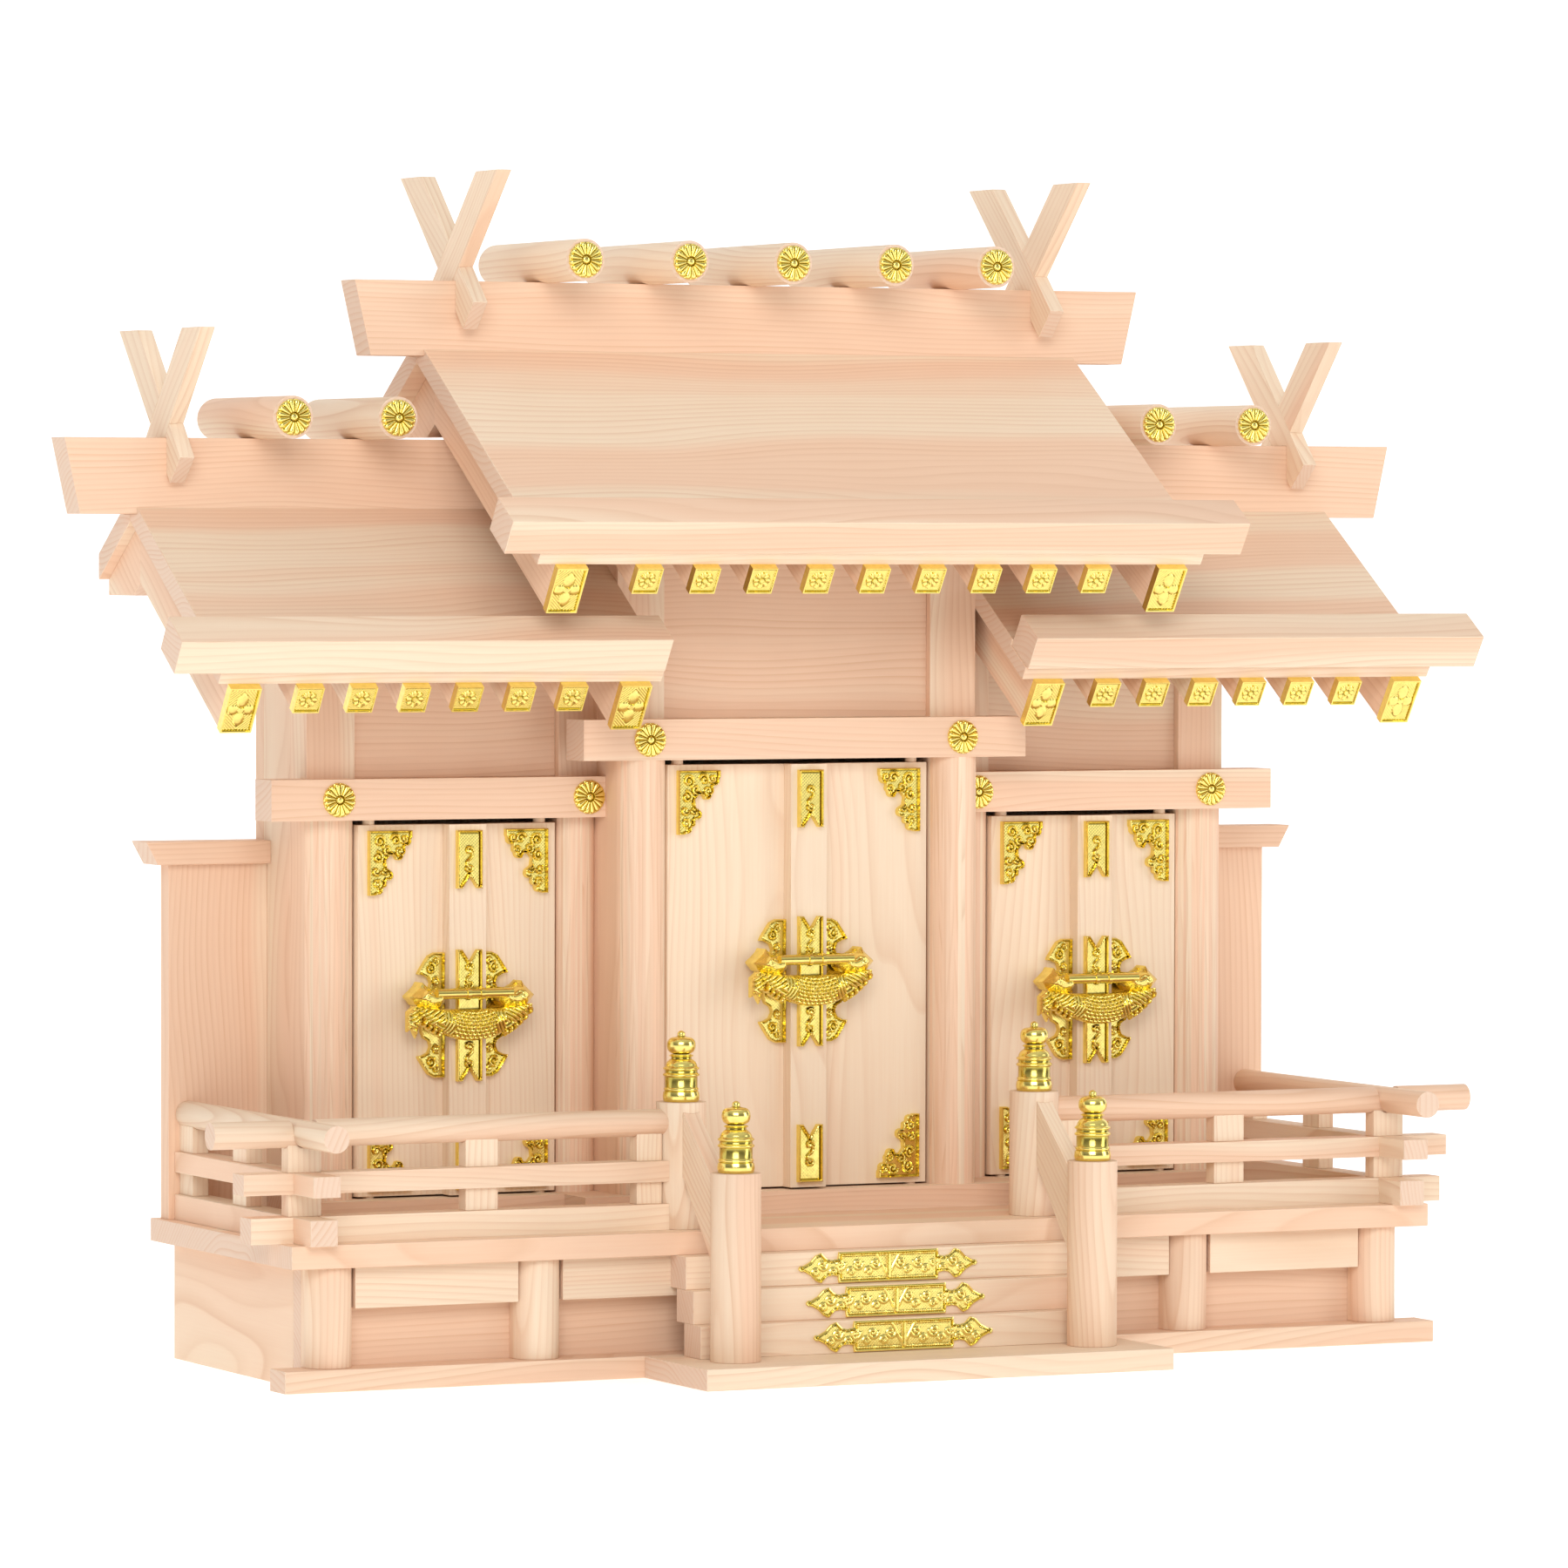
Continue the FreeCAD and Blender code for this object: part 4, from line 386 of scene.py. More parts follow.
def wood(name, turn, peach, seed, contrast=BOARD_CONTRAST):
    """Planed cypress: growth rings about a distant core that runs along the board, so that
    flat faces show flames, edges show straight lines and ends show arcs.
    The turn brings the grain onto the local X axis."""
    material = bpy.data.materials.new(name)
    tree = Tree(material)
    place = tree.add("TexCoord")
    x, y, z = tree.split(tree.turned(place.outputs["Object"], turn))
    island = tree.add("NewGeometry").outputs["Random Per Island"]
    chances = tree.split(tree.chance(tree.calc("ADD", island, seed)).outputs["Color"])
    along = tree.calc("MULTIPLY_ADD", chances[0], SHIFT_ALONG, x)

    shift = tree.calc("MULTIPLY", chances[1], SHIFT_ACROSS)
    wander = tree.noise(tree.combine(tree.calc("MULTIPLY", along, WAVES_ALONG),
                                     tree.calc("MULTIPLY_ADD", y, WAVES_ACROSS, shift),
                                     tree.calc("MULTIPLY", z, WAVES_ACROSS)))
    drift = tree.split(wander.outputs["Color"])
    angle = tree.calc("MULTIPLY", chances[2], math.tau)
    reach = tree.calc("MULTIPLY_ADD", chances[1], CORE_SPREAD, CORE_NEAR)
    squares = []
    for side, kind, sway in ((y, "COSINE", drift[0]), (z, "SINE", drift[1])):
        core = tree.calc("MULTIPLY", tree.calc(kind, angle), reach)
        off = tree.calc("ADD", tree.calc("ADD", side, core), tree.calc("MULTIPLY", sway, RING_SWAY))
        squares.append(tree.calc("MULTIPLY", off, off))
    radius = tree.calc("SQRT", tree.calc("ADD", *squares))

    count = tree.calc("MULTIPLY_ADD", drift[2], RING_DRIFT, tree.calc("DIVIDE", radius, RING))
    strength = tree.chance(tree.calc("FLOOR", count)).outputs["Value"]
    dark = tree.calc("MULTIPLY", tree.ramp(tree.calc("FRACT", count), RING_LINE),
                     tree.calc("MULTIPLY_ADD", strength, 1 - FAINT_RING, FAINT_RING))

    band_place = tree.calc("MULTIPLY_ADD", radius, BAND_PACE, tree.calc("MULTIPLY", chances[0], BAND_SHIFT))
    band = tree.noise(band_place, one_way=True).outputs[0]
    redder = tree.ramp(tree.calc("ADD", band, peach - 0.5), BAND_STEP)
    ground = tree.mix(redder, CREAM, PEACH)

    fibre = tree.noise(tree.combine(tree.calc("MULTIPLY", along, FIBRE_ALONG),
                                    tree.calc("MULTIPLY", y, FIBRE_ACROSS),
                                    tree.calc("MULTIPLY", z, FIBRE_ACROSS)))
    thread = tree.ramp(fibre.outputs[0], FIBRE_STEP)

    lined = tree.mix(tree.calc("MULTIPLY", dark, LINE_SHARE * contrast), ground, LINE)
    shade = tree.calc("MULTIPLY_ADD", thread, -FIBRE_SHADE, FIBRE_SHADE)
    toned = tree.add("HueSaturation")
    tree.put(tree.calc("MULTIPLY_ADD", chances[2], 1 - DARK_BOARD, DARK_BOARD), toned.inputs["Value"])
    tree.put(tree.mix(shade, lined, PEACH, "MULTIPLY"), toned.inputs["Color"])

    facing = tree.split(tree.turned(place.outputs["Normal"], turn))
    is_end = tree.ramp(tree.calc("ABSOLUTE", facing[0]), END_STEP)
    end_colour = tree.mix(tree.calc("MULTIPLY", dark, END_LINE_SHARE), END_GRAIN, LINE)
    tree.surface({
        "Base Color": tree.mix(is_end, toned.outputs[0], end_colour),
        "Roughness": tree.calc("MULTIPLY_ADD", thread, WOOD_ROUGHER, WOOD_ROUGH),
        "IOR": WOOD_IOR,
        "Specular IOR Level": WOOD_SHEEN,
        "Normal": tree.bump(thread, FIBRE_BUMP, FIBRE_HEIGHT),
    })
    return material


def gilt():
    """Bright plated fittings: a mirror-like yellow gold, darkened by painted shade in its hollows."""
    material = bpy.data.materials.new("gilt")
    tree = Tree(material)
    waves = tree.noise(tree.add("TexCoord").outputs["Object"], GILT_WAVES).outputs[0]
    # Painted shade in the hollows, found by pointiness, mixed into the base colour below
    painted_hollow_shade = tree.ramp(tree.add("NewGeometry").outputs["Pointiness"], HOLLOW_SHADE_STEP)
    tone = tree.calc("MULTIPLY", tree.ramp(waves, GILT_STEP), GILT_TONE)
    uneven = tree.mix(tone, GOLD, GOLD_DEEP)
    tree.surface({
        "Base Color": tree.mix(tree.calc("MULTIPLY", painted_hollow_shade, HOLLOW_SHADE_DEPTH), uneven, GOLD_DEEP),
        "Metallic": 1.0,
        "Roughness": tree.calc("MULTIPLY_ADD", tone, GILT_ROUGHER, GILT_ROUGH),
        "Normal": tree.bump(waves, GILT_BUMP, GILT_HEIGHT),
    })
    return material


def circle(a, b, centre, radius):
    """Distance to a circle, negative inside."""
    return np.hypot(a - centre[0], b - centre[1]) - radius


def block(a, b, across, up):
    """Distance to a rectangle, negative inside."""
    da = np.abs(a - (across[0] + across[1]) / 2) - (across[1] - across[0]) / 2
    db = np.abs(b - (up[0] + up[1]) / 2) - (up[1] - up[0]) / 2
    return np.hypot(np.maximum(da, 0), np.maximum(db, 0)) + np.minimum(np.maximum(da, db), 0)


def line(a, b, points):
    """Distance to a line of points."""
    nearest = np.full(a.shape, FAR)
    for (x0, y0), (x1, y1) in zip(points, points[1:]):
        ex, ey = x1 - x0, y1 - y0
        share = np.clip(((a - x0) * ex + (b - y0) * ey) / (ex * ex + ey * ey), 0, 1)
        nearest = np.minimum(nearest, np.hypot(a - x0 - share * ex, b - y0 - share * ey))
    return nearest


def polygon(a, b, corners):
    """Distance to a polygon, negative inside."""
    inside = np.zeros(a.shape, bool)
    for (x0, y0), (x1, y1) in zip(corners, corners[1:] + corners[:1]):
        if y0 != y1:
            inside ^= ((y0 > b) != (y1 > b)) & (a < x0 + (b - y0) * (x1 - x0) / (y1 - y0))
    nearest = line(a, b, corners + corners[:1])
    return np.where(inside, -nearest, nearest)


def curl(centre, radius, start, turns, hand=1):
    """Points of a scroll that winds into its centre."""
    points = []
    for index in range(SCROLL_POINTS):
        share = index / (SCROLL_POINTS - 1)
        reach = radius * (1 - SCROLL_IN * share)
        angle = math.radians(start) + hand * math.tau * turns * share
        points.append((centre[0] + reach * math.cos(angle), centre[1] + reach * math.sin(angle)))
    return points


def step_up(value, low, high):
    """A soft step from 0 to 1."""
    share = np.clip((value - low) / (high - low), 0, 1)
    return share * share * (3 - 2 * share)


def arch(share):
    """Height of a half round at a share of its radius."""
    return np.sqrt(np.maximum(0, 1 - share ** 2))


def bead_rows(a, b, pitch):
    """Small round beads in rows."""
    return np.maximum(0, np.cos(math.tau * a / pitch) * np.cos(math.tau * b / pitch))


def rimmed(inside, thick, field, field_from, rim_until):
    """A field inside a raised rim."""
    border = thick * (1 - step_up(inside, *rim_until))
    return np.maximum(field * step_up(inside, *field_from), border)


def ornament(a, b, d, thick, curves, rim, stem, pitch):
    """Height of a pressed plate: a raised rim, a beaded ground and scrolls of round stems."""
    inside = -d
    nearest = np.full(a.shape, FAR)
    for points in curves:
        nearest = np.minimum(nearest, line(a, b, points))
    ground = thick * GROUND + BEAD * bead_rows(a, b, pitch)
    raised = np.maximum(ground, thick * STEM_FOOT + thick * STEM_RISE * arch(nearest / stem))
    field = raised * step_up(inside, rim * FIELD_FROM[0], rim * FIELD_FROM[1])
    border = thick * (1 - step_up(inside, rim * RIM_UNTIL[0], rim * RIM_UNTIL[1]))
    border = border * (RIM_EDGE + (1 - RIM_EDGE) * step_up(inside, 0, rim * RIM_SOFT))
    return np.maximum(field, border)


def pressed(outline, height, low, high, back=0.0, grid=GRID):
    """A closed plate inside an outline: its raised face, its edge and its back."""
    a, b = np.meshgrid(np.arange(low[0] - grid, high[0] + 2 * grid, grid),
                       np.arange(low[1] - grid, high[1] + 2 * grid, grid), indexing="ij")
    d = outline(a, b)
    slope_a = (outline(a + SLOPE_STEP, b) - outline(a - SLOPE_STEP, b)) / (2 * SLOPE_STEP)
    slope_b = (outline(a, b + SLOPE_STEP) - outline(a, b - SLOPE_STEP)) / (2 * SLOPE_STEP)
    steep = np.hypot(slope_a, slope_b) + TINY
    pull = np.where((d > -EDGE_PULL * grid) & (d < EDGE_KEEP * grid), d, 0) / steep
    a = a - pull * slope_a / steep
    b = b - pull * slope_b / steep
    kept = d < EDGE_KEEP * grid
    cells = kept[:-1, :-1] & kept[1:, :-1] & kept[1:, 1:] & kept[:-1, 1:]
    number = np.arange(a.size).reshape(a.shape)
    rows, columns = np.nonzero(cells)
    quads = np.stack([number[rows, columns], number[rows + 1, columns],
                      number[rows + 1, columns + 1], number[rows, columns + 1]], axis=1)
    used, quads = np.unique(quads, return_inverse=True)
    quads = quads.reshape(-1, 4)
    flat_a, flat_b = a.ravel()[used], b.ravel()[used]
    top = height(flat_a, flat_b, np.minimum(outline(flat_a, flat_b), 0))

    edges = {}
    for shift in range(4):
        for start, end in zip(quads[:, shift].tolist(), quads[:, (shift + 1) % 4].tolist()):
            edges[(start, end)] = True
    rim = {start: end for start, end in edges if (end, start) not in edges}
    below = {start: len(used) + index for index, start in enumerate(rim)}
    under = np.array([(flat_a[start], flat_b[start], back) for start in rim]).reshape(-1, 3)
    places = np.concatenate([np.stack([flat_a, flat_b, top], axis=1), under])
    walls = [(start, below[start], below[end], end) for start, end in rim.items() if end in below]
    backs = []
    left = dict(rim)
    while left:
        start, end = left.popitem()
        loop = [start]
        while end in left:
            loop.append(end)
            end = left.pop(end)
        if len(loop) > 2:
            backs.append([below[item] for item in reversed(loop)])
    return places, quads.tolist() + walls + backs


def turned_flower(radius, thick):
    """A flower of sixteen petals with a second row behind them and a boss."""
    count = PETALS * PETAL_POINTS
    turn = np.arange(count) / count * math.tau
    share = (np.arange(count) % PETAL_POINTS) / PETAL_POINTS * 2 - 1
    wide = math.pi * radius / PETALS
    boss = radius * BOSS
    front_arch = arch(share)
    behind_arch = arch(np.abs(share) - 1)
    front = radius - wide + wide * front_arch
    behind = radius * SECOND_ROW - wide + wide * behind_arch
    edge = np.maximum(front, behind)
    second = thick * (SECOND_LEVEL[0] + SECOND_LEVEL[1] * behind_arch)
    places = [(0, 0, thick * FLOWER_CENTRE)]
    for ring in range(1, FLOWER_RINGS + 1):
        reach = edge * (ring / FLOWER_RINGS)
        end = arch(np.maximum(0, (reach - (front - wide)) / wide))
        petal = thick * (PETAL_LEVEL[0] + PETAL_LEVEL[1] * front_arch)
        petal = petal * (PETAL_TIP + (1 - PETAL_TIP) * end)
        rise = np.where(reach <= front + 1e-6, np.maximum(petal, second), second)
        round_boss = thick * (BOSS_LEVEL + (1 - BOSS_LEVEL) * arch(reach / boss))
        rise = np.where(reach < boss, round_boss, rise)
        rise = np.where((reach >= boss) & (reach < boss * BOSS_GROOVE), thick * GROOVE_LEVEL, rise)
        places += list(zip(reach * np.cos(turn), reach * np.sin(turn), rise))
    places += list(zip(edge * np.cos(turn), edge * np.sin(turn), np.zeros(count)))
    faces = [(0, 1 + index, 1 + (index + 1) % count) for index in range(count)]
    for ring in range(FLOWER_RINGS):
        start = 1 + ring * count
        for index in range(count):
            after = (index + 1) % count
            faces.append((start + index, start + count + index, start + count + after, start + after))
    last = 1 + FLOWER_RINGS * count
    faces.append([last + index for index in reversed(range(count))])
    return np.array(places), faces


def cap(wide, high, height, grid):
    """A rafter's cap with a skirt, its middle at the origin."""
    low, far = (-wide / 2, -high / 2), (wide / 2, high / 2)
    return pressed(lambda a, b: block(a, b, (low[0], far[0]), (low[1], far[1])), height, low, far,
                   -CAP_SKIRT, grid)


def small_cap(wide, high):
    """A rafter's cap: a rim round a flower on a beaded ground."""
    size = wide * CAP_FLOWER

    def height(a, b, d):
        reach = np.hypot(a, b)
        lobes = np.abs(np.cos(np.arctan2(b, a) * CAP_PETALS))
        flower = CAP_THICK * (0.50 + 0.42 * lobes ** 0.6) * (reach < size * (0.86 + 0.14 * lobes))
        flower = np.where(reach < size * 0.3, CAP_THICK * 0.95, flower)
        flower = np.where((reach >= size * 0.3) & (reach < size * 0.42), CAP_THICK * 0.4, flower)
        ground = CAP_THICK * GROUND + CAP_BEAD * bead_rows(a, b, CAP_PITCH)
        return rimmed(-d, CAP_THICK, np.maximum(ground, flower), (0.75, 1.05), (0.65, 0.95))
    return cap(wide, high, height, SMALL_CAP_GRID)


def large_cap(wide, high):
    """An end rafter's cap: a rim round a cross of four petals on a hatched ground."""
    petals_at = (((0, 5.0), (2.6, 3.6)), ((0, -5.0), (2.6, 3.6)),
                 ((3.7, 0), (2.7, 2.5)), ((-3.7, 0), (2.7, 2.5)))

    def height(a, b, d):
        hatch = 0.5 + 0.5 * np.cos(math.tau * (np.abs(a) + np.abs(b)) / HATCH_PITCH)
        ground = CAP_THICK * (0.36 + 0.22 * hatch)
        petals = np.full(a.shape, FAR)
        for centre, half in petals_at:
            petals = np.minimum(petals, np.hypot((a - centre[0]) / half[0], (b - centre[1]) / half[1]))
        cross = CAP_THICK * np.where(petals < 1, 0.62 + 0.36 * arch(petals), 0)
        heart = CAP_THICK * np.where(np.hypot(a, b) < HEART, 1.0, 0)
        field = np.maximum(np.maximum(ground, cross), heart)
        return rimmed(-d, CAP_THICK, field, (0.95, 1.3), (0.8, 1.15))
    return cap(wide, high, height, LARGE_CAP_GRID)


def corner_plate(wide, high, thick):
    """A corner plate with two scalloped arms, its corner at the origin, reaching right and up."""
    edge = [(0, 0), (wide, 0), (wide, 3.0), (wide - 1.2, 5.4), (wide - 3.2, 7.0), (wide - 4.2, 9.6),
            (16.4, 12.4), (13.6, 13.2), (12.4, 11.4), (10.2, 11.6), (8.4, 13.8), (8.8, 17.2),
            (11.2, 18.8), (11.2, 21.6), (8.8, 22.8), (7.4, 25.2), (6.2, high - 2.0), (3.0, high), (0, high)]
    lobes = (((wide - 2.8, 5.0), 2.2), ((wide - 5.6, 9.4), 2.2), ((14.6, 11.4), 2.4),
             ((9.4, 20.6), 2.5), ((7.0, 24.6), 1.8), ((4.6, high - 2.6), 2.2))
    bites = (((11.4, 13.4), 1.8), ((11.6, 16.6), 1.5), ((wide - 0.6, 7.6), 1.2), ((9.6, 24.6), 1.1))
    curves = [curl((13.6, 4.4), 2.6, 200, 1.3), curl((17.6, 4.0), 1.9, 160, 1.2, -1),
              curl((5.4, 5.0), 3.0, 60, 1.4, -1), curl((wide - 6.0, 9.6), 2.0, 90, 1.2),
              curl((4.6, 12.4), 2.7, 270, 1.3), curl((8.6, 18.0), 2.3, 150, 1.3, -1),
              curl((3.8, 18.8), 2.0, 20, 1.2), curl((4.0, 24.6), 2.2, 80, 1.3, -1),
              curl((9.4, 9.0), 2.4, 30, 1.3)]

    def outline(a, b):
        d = polygon(a, b, edge)
        for centre, radius in lobes:
            d = np.minimum(d, circle(a, b, centre, radius))
        for centre, radius in bites:
            d = np.maximum(d, -circle(a, b, centre, radius))
        return np.maximum(d, np.maximum(-a, -b))

    def height(a, b, d):
        return ornament(a, b, d, thick, curves, 0.9, STEM_WIDE, 1.5)
    return pressed(outline, height, (0, 0), (wide, high))


def strip_plate(wide, high, thick, low_cut, high_cut):
    """A plate on the cover strip, centred, with swallowtail ends."""
    half_wide, half_high = wide / 2, high / 2
    low, far = (-half_wide, -half_high), (half_wide, half_high)
    notch = half_wide * 0.95
    tip = half_wide - 2.4
    corners = [low]
    if low_cut:
        corners += [(-tip, -half_high), (0, -half_high + notch), (tip, -half_high)]
    corners += [(half_wide, -half_high), far]
    if high_cut:
        corners += [(tip, half_high), (0, half_high - notch), (-tip, half_high)]
    corners.append((-half_wide, half_high))
    reach = min(6.4, half_high - notch)
    arm = reach * 0.62
    both_ends = (-half_high + notch + reach, half_high - notch - reach)
    curves = []
    for place in both_ends if low_cut and high_cut else (0,):
        bend = [(1.5 * math.sin(math.pi * step / 8), place + arm * step / 8) for step in range(-8, 9)]
        curves += [bend, curl((-0.2, place + arm), 1.9, 0, 1.1), curl((0.2, place - arm), 1.9, 180, 1.1)]

    def height(a, b, d):
        return ornament(a, b, d, thick, curves, 1.0, STEM_WIDE, 1.55)
    return pressed(lambda a, b: polygon(a, b, corners), height, low, far)


def half_plate(wide, high, thick):
    """A plate beside the cover strip: a straight edge at the left, lobes and round notches at the right."""
    half = high / 2
    edge = [(0, -1), (0, half), (wide * 0.38, half), (wide * 0.60, half - 1.4), (wide * 0.77, half - 4.6),
            (wide * 0.97, half - 8.8), (wide, half - 10.0), (wide * 0.81, half - 10.4),
            (wide * 0.61, half - 11.8), (wide * 0.53, half - 14.4), (wide * 0.59, half - 16.8),
            (wide * 0.79, half - 18.4), (wide * 0.87, half - 21), (wide * 0.87, -1)]
    curves = []
    for side in (-1, 1):
        curves += [curl((wide * 0.50, side * (half - 7.4)), 2.6, 90 * side, 1.3, side),
                   curl((wide * 0.32, side * (half - 3.9)), 1.8, -30 * side, 1.1, -side),
                   curl((wide * 0.30, side * (half - 13.5)), 1.7, 100 * side, 1.3, -side)]

    def height(a, b, d):
        return ornament(a, b, d, thick, curves, 0.9, STEM_WIDE, 1.5)
    return pressed(lambda a, b: polygon(a, np.abs(b), edge), height, (0, -half), (wide, half))


def step_plate(wide, high, thick):
    """A long plate on a step, with arrow-shaped ends and a row of scrolls."""
    half_wide, half_high = wide / 2, high / 2
    head_edge = [(0.8, -1), (0.8, 0.5), (6.0, 3.2), (8.6, 5.8), (11.2, half_high - 0.1),
                 (14.5, half_high * 0.55), (22, half_high * 0.55), (22, -1)]
    curves = []
    for side in (-1, 1):
        outward, inward = (180, 0) if side > 0 else (0, 180)
        for place in (6.5, 15.5, 24.5, 33.5):
            curves += [curl((side * place, 1.3), 2.6, outward, 1.35, side),
                       curl((side * (place + 3.4), -2.2), 1.9, inward, 1.2, side)]
        curves.append([(0, -half_high + 2.2), (side * 5.4, half_high - 2.2)])

    def outline(a, b):
        reach = half_wide - np.abs(a)
        rise = np.abs(b)
        bar = block(reach, rise, (20.0, half_wide + 1), (-half_high, half_high))
        d = np.minimum(polygon(reach, rise, head_edge), bar)
        d = np.minimum(d, circle(reach, rise, (1.3, 0), 1.3))
        return np.maximum(d, -circle(reach, rise, (17.0, half_high - 0.2), 3.3))

    def height(a, b, d):
        raised = ornament(a, b, d, thick, curves, 0.95, 0.6, 1.45)
        row = (np.abs(-d - 1.75) < 0.42) & (np.abs(a) < half_wide - 20)
        return np.where(row, thick * (0.50 + 0.40 * np.abs(np.cos(math.pi * a / 1.1))), raised)
    return pressed(outline, height, (-half_wide, -half_high), (half_wide, half_high))


def lathe(profile, sides=LATHE_SIDES):
    """A turned form from a profile of radius and height."""
    places = []
    faces = []
    turn = np.arange(sides) / sides * math.tau
    for radius, rise in profile:
        places += list(zip(radius * np.cos(turn), radius * np.sin(turn), np.full(sides, rise)))
    for ring in range(len(profile) - 1):
        start = ring * sides
        for index in range(sides):
            after = (index + 1) % sides
            faces.append((start + index, start + after, start + sides + after, start + sides + index))
    faces.append(list(reversed(range(sides))))
    faces.append([(len(profile) - 1) * sides + index for index in range(sides)])
    return np.array(places), faces


def bulge(low, high, inner, outer, count=7):
    """Profile points of a round swelling between two heights."""
    points = []
    for index in range(count):
        share = index / (count - 1)
        points.append((inner + (outer - inner) * math.sin(math.pi * share), low + (high - low) * share))
    return points


def finial_form():
    """A stair post's cap: foot ring, banded barrel, shoulder, neck, onion and nub."""
    profile = [(7.8, 0.0)] + bulge(0.2, 4.6, 8.1, 8.5) + [(7.6, 4.8)] + bulge(5.0, 6.4, 7.7, 8.1, 5)
    profile += [(7.5, 6.6), (7.5, 11.4)] + bulge(11.5, 13.1, 7.7, 8.5, 6) + [(7.5, 13.3), (7.5, 14.4)]
    profile += bulge(14.5, 15.9, 7.7, 8.4, 6)
    profile += [(7.4, 16.1), (7.2, 17.0), (6.6, 18.1), (5.4, 19.2), (4.7, 19.6)]
    profile += [(4.6, 20.4)] + bulge(20.5, 21.5, 4.8, 5.7, 5) + [(4.8, 21.7)]
    neck, onion, onion_middle, onion_half, steps = 2.2, 6.6, 25.7, 3.9, 16
    for index in range(steps + 1):
        angle = math.pi * (0.06 + 0.90 * index / steps)
        round_out = onion * math.sin(angle) ** 0.42
        profile.append((max(round_out, neck), onion_middle - onion_half * math.cos(angle)))
    profile += [(1.9, 29.9), (1.7, 30.4), (1.9, 31.0), (1.5, 31.8), (0.8, 32.3), (0.25, 32.5)]
    kept = [profile[0]]
    for radius, rise in profile[1:]:
        kept.append((radius, max(rise, kept[-1][1] + 0.02)))
    return lathe(kept)


def fish_body(thick):
    """The lock's fish: a crescent with scales, gill stripes, ridged fins and a hanging fin at each end."""
    middle = FISH_LOW + FISH_BOW
    tail = [(-FISH_HALF, -8.0), (-28.6, -4.4), (-26.0, -11), (-28.5, -20.6), (-31.0, -16.0),
            (-FISH_HALF, -17.6)]
    feathers = []
    for index in range(FEATHERS):
        place = FISH_GILL_END + index * FEATHER_STEP
        drop = middle - math.sqrt(FISH_BOW ** 2 - place ** 2)
        feathers.append([(place - 2.2, drop + 3.6), (place + 0.9, drop - 2.1), (place + 2.8, drop - 0.9),
                         (place + 2.0, drop + 3.4)])

    def outline(a, b):
        d = np.maximum(circle(a, b, (0, middle), FISH_BOW), b + 7.5 - 2.6 * (a / 28) ** 2)
        for side in (-1, 1):
            for feather in feathers:
                d = np.minimum(d, polygon(side * a, b, feather))
        d = np.minimum(d, polygon(a, b, tail))
        return np.maximum(d, np.abs(a) - FISH_HALF)

    def height(a, b, d):
        inside = -d
        far = np.abs(a)
        dome = thick * (0.25 + 0.54 * np.sqrt(np.clip(inside / 6.0, 0, 1)))
        row = (FISH_BOW - np.hypot(a, b - FISH_LOW - FISH_BOW)) / SCALE_ROW
        stagger = np.where(np.floor(row) % 2 == 0, 0.0, 0.5)
        cell = np.abs((a / SCALE_WIDE + stagger) % 1 - 0.5) * 2
        scale = SCALE_HIGH * np.cos(math.pi / 2 * cell) * np.sin(math.pi * (row % 1))
        gill = GILL_HIGH * np.abs(np.sin(np.hypot(far - 24, b + 9) * GILL_PACE))
        barb = BARB_HIGH * np.abs(np.sin((far * 0.75 + np.abs(b + 13.5) * 1.35) * BARB_PACE))
        texture = np.where(far < FISH_BODY_END, scale, np.where(far < FISH_GILL_END, gill, barb))
        return np.minimum(thick, dome + texture * step_up(inside, 0.2, 0.9))
    return pressed(outline, height, (-FISH_HALF, FISH_LOW), (FISH_HALF, FISH_HIGH), 0, FISH_GRID)


def end_block(thick):
    """The right end of the lock: a curled block with a pointed crest and a bead."""
    corners = [(13.4, -1.5), (15.0, 2.4), (19.6, 1.8), (22.8, 3.4), (25.0, 5.4), (26.4, 3.2), (31.4, -1.4),
               (28.0, -5.2), (22.0, -7.4), (16.0, -6.4), (13.8, -4.2)]
    ridge_line = curl((23.6, -1.6), 3.6, 150, 0.6, -1)

    def height(a, b, d):
        rise = thick * (0.60 + 0.36 * np.clip(-d / 3.4, 0, 1))
        ridge = thick * 0.06 * arch(line(a, b, ridge_line) / 0.8)
        bead = thick * 0.12 * arch(np.hypot(a - 16.6, b - 0.6) / 1.3)
        return np.minimum(thick, rise + ridge + bead)
    return pressed(lambda a, b: polygon(a, b, corners), height, (13, -8), (33, 6), 0, FISH_GRID)


def rod_across(half, radius, collars):
    """A faceted bar along a, with collars."""
    wider = radius * COLLAR_WIDER
    profile = [(radius, -half)]
    for place in collars:
        profile += [(radius, place - COLLAR_FOOT), (wider, place - COLLAR_HALF),
                    (wider, place + COLLAR_HALF), (radius, place + COLLAR_FOOT)]
    profile.append((radius, half))
    places, faces = lathe(profile, BAR_SIDES)
    return np.stack([places[:, 2], places[:, 1], places[:, 0]], axis=1), [face[::-1] for face in faces]


def placed(name, data):
    """An object in the scene."""
    item = bpy.data.objects.new(name, data)
    bpy.context.scene.collection.objects.link(item)
    return item


def part(form, origin, up=UP_WAY, mirrored=False):
    """A form with its origin and its upward direction in metres."""
    return form, origin, up, mirrored


